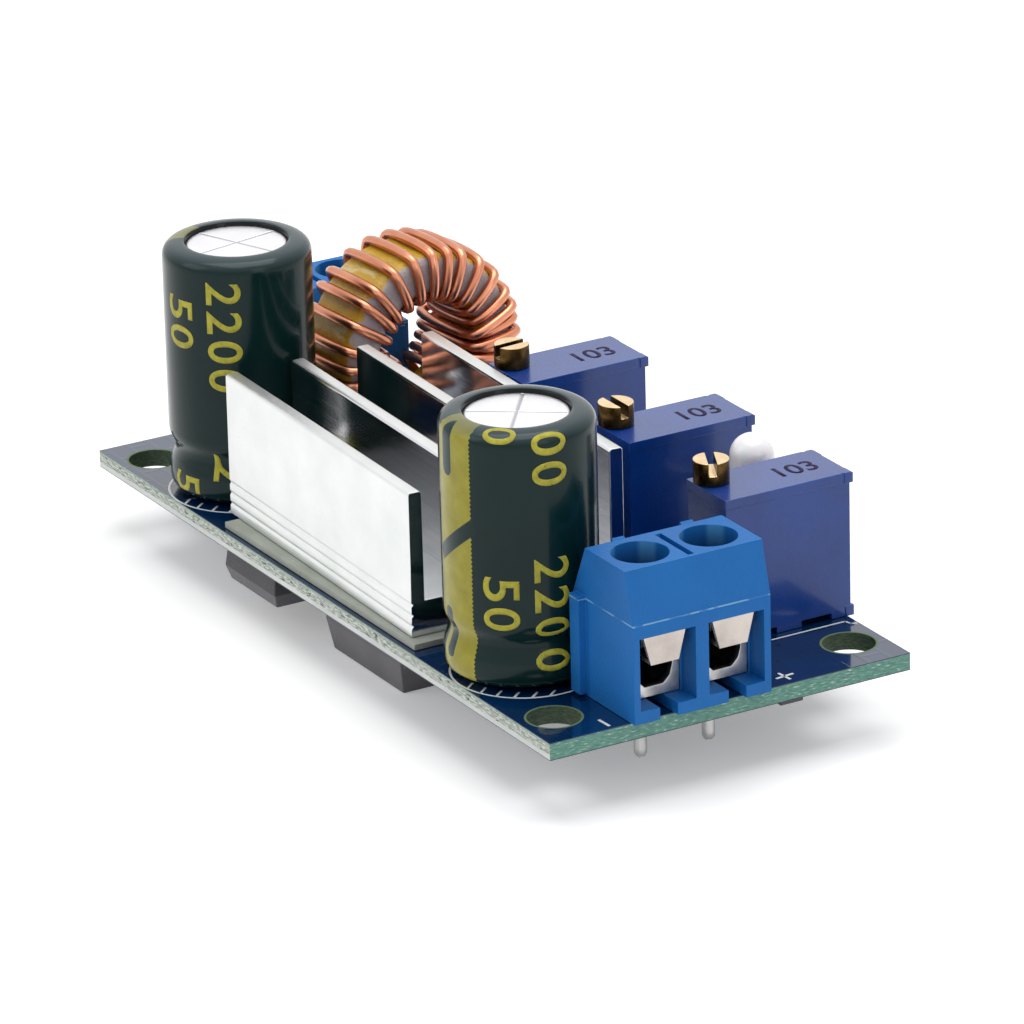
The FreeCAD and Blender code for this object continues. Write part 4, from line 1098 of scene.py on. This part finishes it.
# Rings of the legend that show beside the cans, and the strokes of its signs and of one outline
CAP_RINGS = ((19.28, -8.55, 4.87), (-19.24, -8.38, 5.0))
HATCH_FROM = -81.0
HATCH_STEP = 14.0
SIGN_STROKES = (
    ((29.16, -8.92), (30.2, -8.87)), ((28.98, 4.57), (30.04, 4.68)), ((29.57, 4.05), (29.44, 5.24)),
)
OUTLINE_STROKES = (
    ((23.93, 7.22), (23.9, 12.8)), ((23.9, 12.8), (24.4, 12.92)), ((24.4, 12.92), (24.55, 13.25)),
)


def legend():
    """White ink on the board: rings round the capacitors, outlines, signs of the terminals."""
    made = []
    for x, y, radius in CAP_RINGS:
        made += copies(ring_plate("cap_ring", radius - 0.07, radius + 0.07, BOARD_TOP, INK_THICK, 96), [(x, y, 0)])
        for i in range(6):
            a = math.radians(HATCH_FROM + i * HATCH_STEP)
            start = (x + (radius - 0.1) * math.cos(a), y + (radius - 0.1) * math.sin(a))
            made.append(stroke(start, (start[0] - 0.5, start[1] + 0.62), 0.16))
    for start, end in SIGN_STROKES:
        made.append(stroke(start, end, 0.2))
    for start, end in OUTLINE_STROKES:
        made.append(stroke(start, end, 0.14))
    piece = joined("board_legend", made)
    given(piece, plain_finish("white ink", (232, 234, 232), (214, 218, 218), (0.5, 0.65), cloud=2.0))


# Pieces that keep the part's shape, with their edges broken


def dressed(node, width, finish, body="module", segments=2):
    return given(eased_copy(node, width, segments), finish, node, body)


def case_number(case, x, y, ink):
    """The plain number printed on top of a trimmer."""
    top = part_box(case)[1][2]
    piece = lettering(case + "_number", "103", 2.3 * MM, 0.03 * MM)
    place = Matrix.Translation(Vector(((x + 0.75) * MM, (y + 0.2) * MM, top + 0.004 * MM)))
    piece.data.transform(place @ Matrix.Rotation(math.radians(90), 4, "Z"))
    with_modifier(piece, "SOLIDIFY", thickness=0.006 * MM, offset=0.0)
    given(piece, ink)


def thin_pins(contacts, x, y):
    """Under the board the solder takes the pins' place, so they are drawn in under it."""
    for vertex in contacts.data.vertices:
        if vertex.co.z < PINS_FROM * MM:
            pin = Vector((x, y + (PIN_ASIDE if vertex.co.y > y * MM else -PIN_ASIDE))) * MM
            vertex.co.xy = pin + (vertex.co.xy - pin) * PIN_SHARE


def turned_slot(dial, box, turn):
    """The screw, turned about its own axis to where its slot points in the photograph."""
    low, high = box
    axis = Vector(((low[0] + high[0]) / 2, (low[1] + high[1]) / 2, 0))
    turned_by = Matrix.Rotation(math.radians(turn), 4, "Z")
    dial.data.transform(Matrix.Translation(axis) @ turned_by @ Matrix.Translation(-axis))


def mechanical_parts():
    dressed("circuit_board", 0.04, board_finish(), segments=1)
    dressed("heatsink", 0.09, sink_finish())
    pad = plain_finish(
        "pad rubber", (160, 164, 155), (142, 147, 137), (0.55, 0.75), cloud=3.0, depth=0.02, specks=0.06,
    )
    dressed("thermal_pad", 0.06, pad)
    case = trimmer_finish()
    ink = plain_finish(
        "number ink", (46, 34, 70), (30, 22, 54), (0.5, 0.6), cloud=0.5, depth=0.002, Specular_IOR_Level=0.1,
    )
    black = plain_finish(
        "black moulding", (58, 58, 62), (74, 74, 80), (0.42, 0.6), grain=0.1, cloud=3.0, depth=0.012, specks=0.04,
    )
    brass = brass_finish()
    tin = metal_finish("tinned leads", (208, 210, 212), (186, 188, 192), (0.2, 0.34), 0.06, 2.0)
    ceramic = plain_finish("ceramic", (226, 222, 208), (208, 204, 190), (0.5, 0.7), cloud=2.0)
    for i in (1, 2, 3):
        name = "trimmer_%d_" % i
        dressed(name + "case", 0.16, case, segments=3)
        dial = dressed(name + "screw", 0.07, brass, body="trimmer_%d_dial" % i)
        turned_slot(dial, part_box(name + "screw"), SLOT_TURNS[i - 1])
        case_number(name + "case", *TRIMMER_PLACES[i - 1], ink)
        for inner, finish in (("base", black), ("pins", tin), ("carriage", black), ("element", ceramic)):
            put_on(nodes[name + inner], finish)
    shell = terminal_finish()
    cage = cage_finish()
    steel = metal_finish("plated steel", (206, 208, 212), (176, 178, 184), (0.22, 0.38), 0.08, 3.0)
    leaf = metal_finish("bright leaf", (206, 198, 192), (170, 160, 154), (0.2, 0.32), 0.08, 3.0)
    for name in TERMINALS:
        dressed(name + "_housing", 0.12, shell)
        thin_pins(dressed(name + "_contacts", 0.08, cage), *TERMINALS[name][:2])
        dressed(name + "_leaves", 0.04, leaf)
        for i in (1, 2):
            body = "%s_clamp_%d" % (name, i)
            dressed("%s_screw_%d" % (name, i), 0.08, steel, body=body)
    dressed("op_amp_body", 0.12, black)
    for name, parting, upper, lower in (
        ("regulator", -2.3, (110, 109, 113), (116, 115, 119)), ("rectifier", -1.66, (74, 72, 76), (110, 108, 112)),
    ):
        moulding = package_finish(name + " moulding", parting, upper, lower)
        dressed(name + "_body", 0.12, moulding)
    dressed("current_shunt", 0.06, black)
    lacquer = chip_row_finish(
        "chip resistor", 11.6, 2.6, 0.5, (26, 26, 30), (40, 40, 44), (200, 202, 206), (0.28, 0.42),
    )
    tan = chip_row_finish(
        "chip capacitor", -11.6, 3.2, 0.6, (176, 142, 100), (154, 120, 82), (206, 208, 210), (0.35, 0.5),
    )
    dressed("chip_resistors", 0.04, lacquer)
    dressed("chip_capacitors", 0.08, tan)
    for node in ("regulator_leads", "rectifier_leads", "op_amp_leads", "lamp_leads"):
        put_on(nodes[node], tin)
    for node in CAP_PLACES:
        put_on(nodes[node + "_leads"], tin)


# Camera, floor and light


# Solved from the photograph: focal length in pixels, direction and roll in degrees, place in mm
PHOTO_SIDE = 1024
PHOTO_FOCAL = 7805.51
PHOTO_ANGLES = (60.314, 21.557, -1.465)
PHOTO_PLACE = (1.444, 2.394, 520.448)
FILM = 36.0


def camera():
    data = bpy.data.cameras.new("photo camera")
    data.sensor_width = FILM
    data.lens = PHOTO_FOCAL / PHOTO_SIDE * FILM
    data.clip_start = 0.01
    data.clip_end = 20.0
    azimuth, elevation, roll = (math.radians(v) for v in PHOTO_ANGLES)
    back = Vector((
        math.sin(azimuth) * math.cos(elevation), -math.cos(azimuth) * math.cos(elevation), math.sin(elevation),
    ))
    across = Vector((0, 0, 1)).cross(back).normalized()
    upright = back.cross(across)
    right = across * math.cos(roll) + upright * math.sin(roll)
    over = -across * math.sin(roll) + upright * math.cos(roll)
    aside, up, away = PHOTO_PLACE
    place = right * aside + over * up + back * away + Vector((0, 0, BOARD_TOP))
    turn = Matrix((right, over, back)).transposed().to_4x4()
    piece = bpy.data.objects.new("photo camera", data)
    scene.collection.objects.link(piece)
    piece.matrix_world = Matrix.Translation(place * MM) @ turn
    scene.camera = piece


def seen_rays(tree):
    """Full for rays from the camera, off gloss and through clear matter."""
    rays = tree.nodes.new("ShaderNodeLightPath").outputs
    return larger(tree, rays["Is Camera Ray"], rays["Is Glossy Ray"], rays["Is Transmission Ray"])


def floor():
    nothing_taken()
    bpy.ops.mesh.primitive_plane_add(size=6.0, location=(0, 0, LOWEST * MM))
    piece = named("floor")
    settled(piece)
    made = Finish("pale floor", Roughness=0.7, Specular_IOR_Level=0.2)
    made.shader.inputs["Base Color"].default_value = (0.86, 0.86, 0.86, 1)
    tint = blended(made.tree, seen_rays(made.tree), (0, 0, 0, 1), (0.26, 0.26, 0.26, 1))
    made.feed("Emission Color", tint)
    made.shader.inputs["Emission Strength"].default_value = 1.0
    put_on(piece, made)


def lamp_light(name, place, aim, size, power):
    data = bpy.data.lights.new(name, "AREA")
    data.shape = "RECTANGLE"
    data.size, data.size_y = size
    data.energy = power
    piece = bpy.data.objects.new(name, data)
    scene.collection.objects.link(piece)
    piece.location = place
    piece.rotation_euler = (Vector(aim) - Vector(place)).to_track_quat("-Z", "Y").to_euler()


def light():
    world = bpy.data.worlds.new("studio")
    scene.world = world
    world.use_nodes = True
    tree = world.node_tree
    tree.nodes.clear()
    out = tree.nodes.new("ShaderNodeOutputWorld")
    lit = add(tree, "ShaderNodeBackground", {"Color": (1, 1, 1, 1), "Strength": 0.55})
    white = add(tree, "ShaderNodeBackground", {"Color": (1, 1, 1, 1), "Strength": 1.0})
    mix = add(tree, "ShaderNodeMixShader", {0: seen_rays(tree), 1: lit.outputs[0], 2: white.outputs[0]})
    tree.links.new(mix.outputs[0], out.inputs[0])
    lamp_light("overhead", (0.0, 0.05, 0.55), (0, 0, 0), (0.5, 0.5), 2.25)
    lamp_light("left", (-0.15, -0.5, 0.3), (0, 0, 0), (0.35, 0.35), 0.5)
    lamp_light("right", (0.6, 0.05, 0.25), (0, 0, 0.005), (0.2, 0.35), 0.25)


mechanical_parts()
core()
winding()
capacitors()
lamp()
solder()
legend()
camera()
floor()
light()
scene.view_settings.view_transform = "Standard"
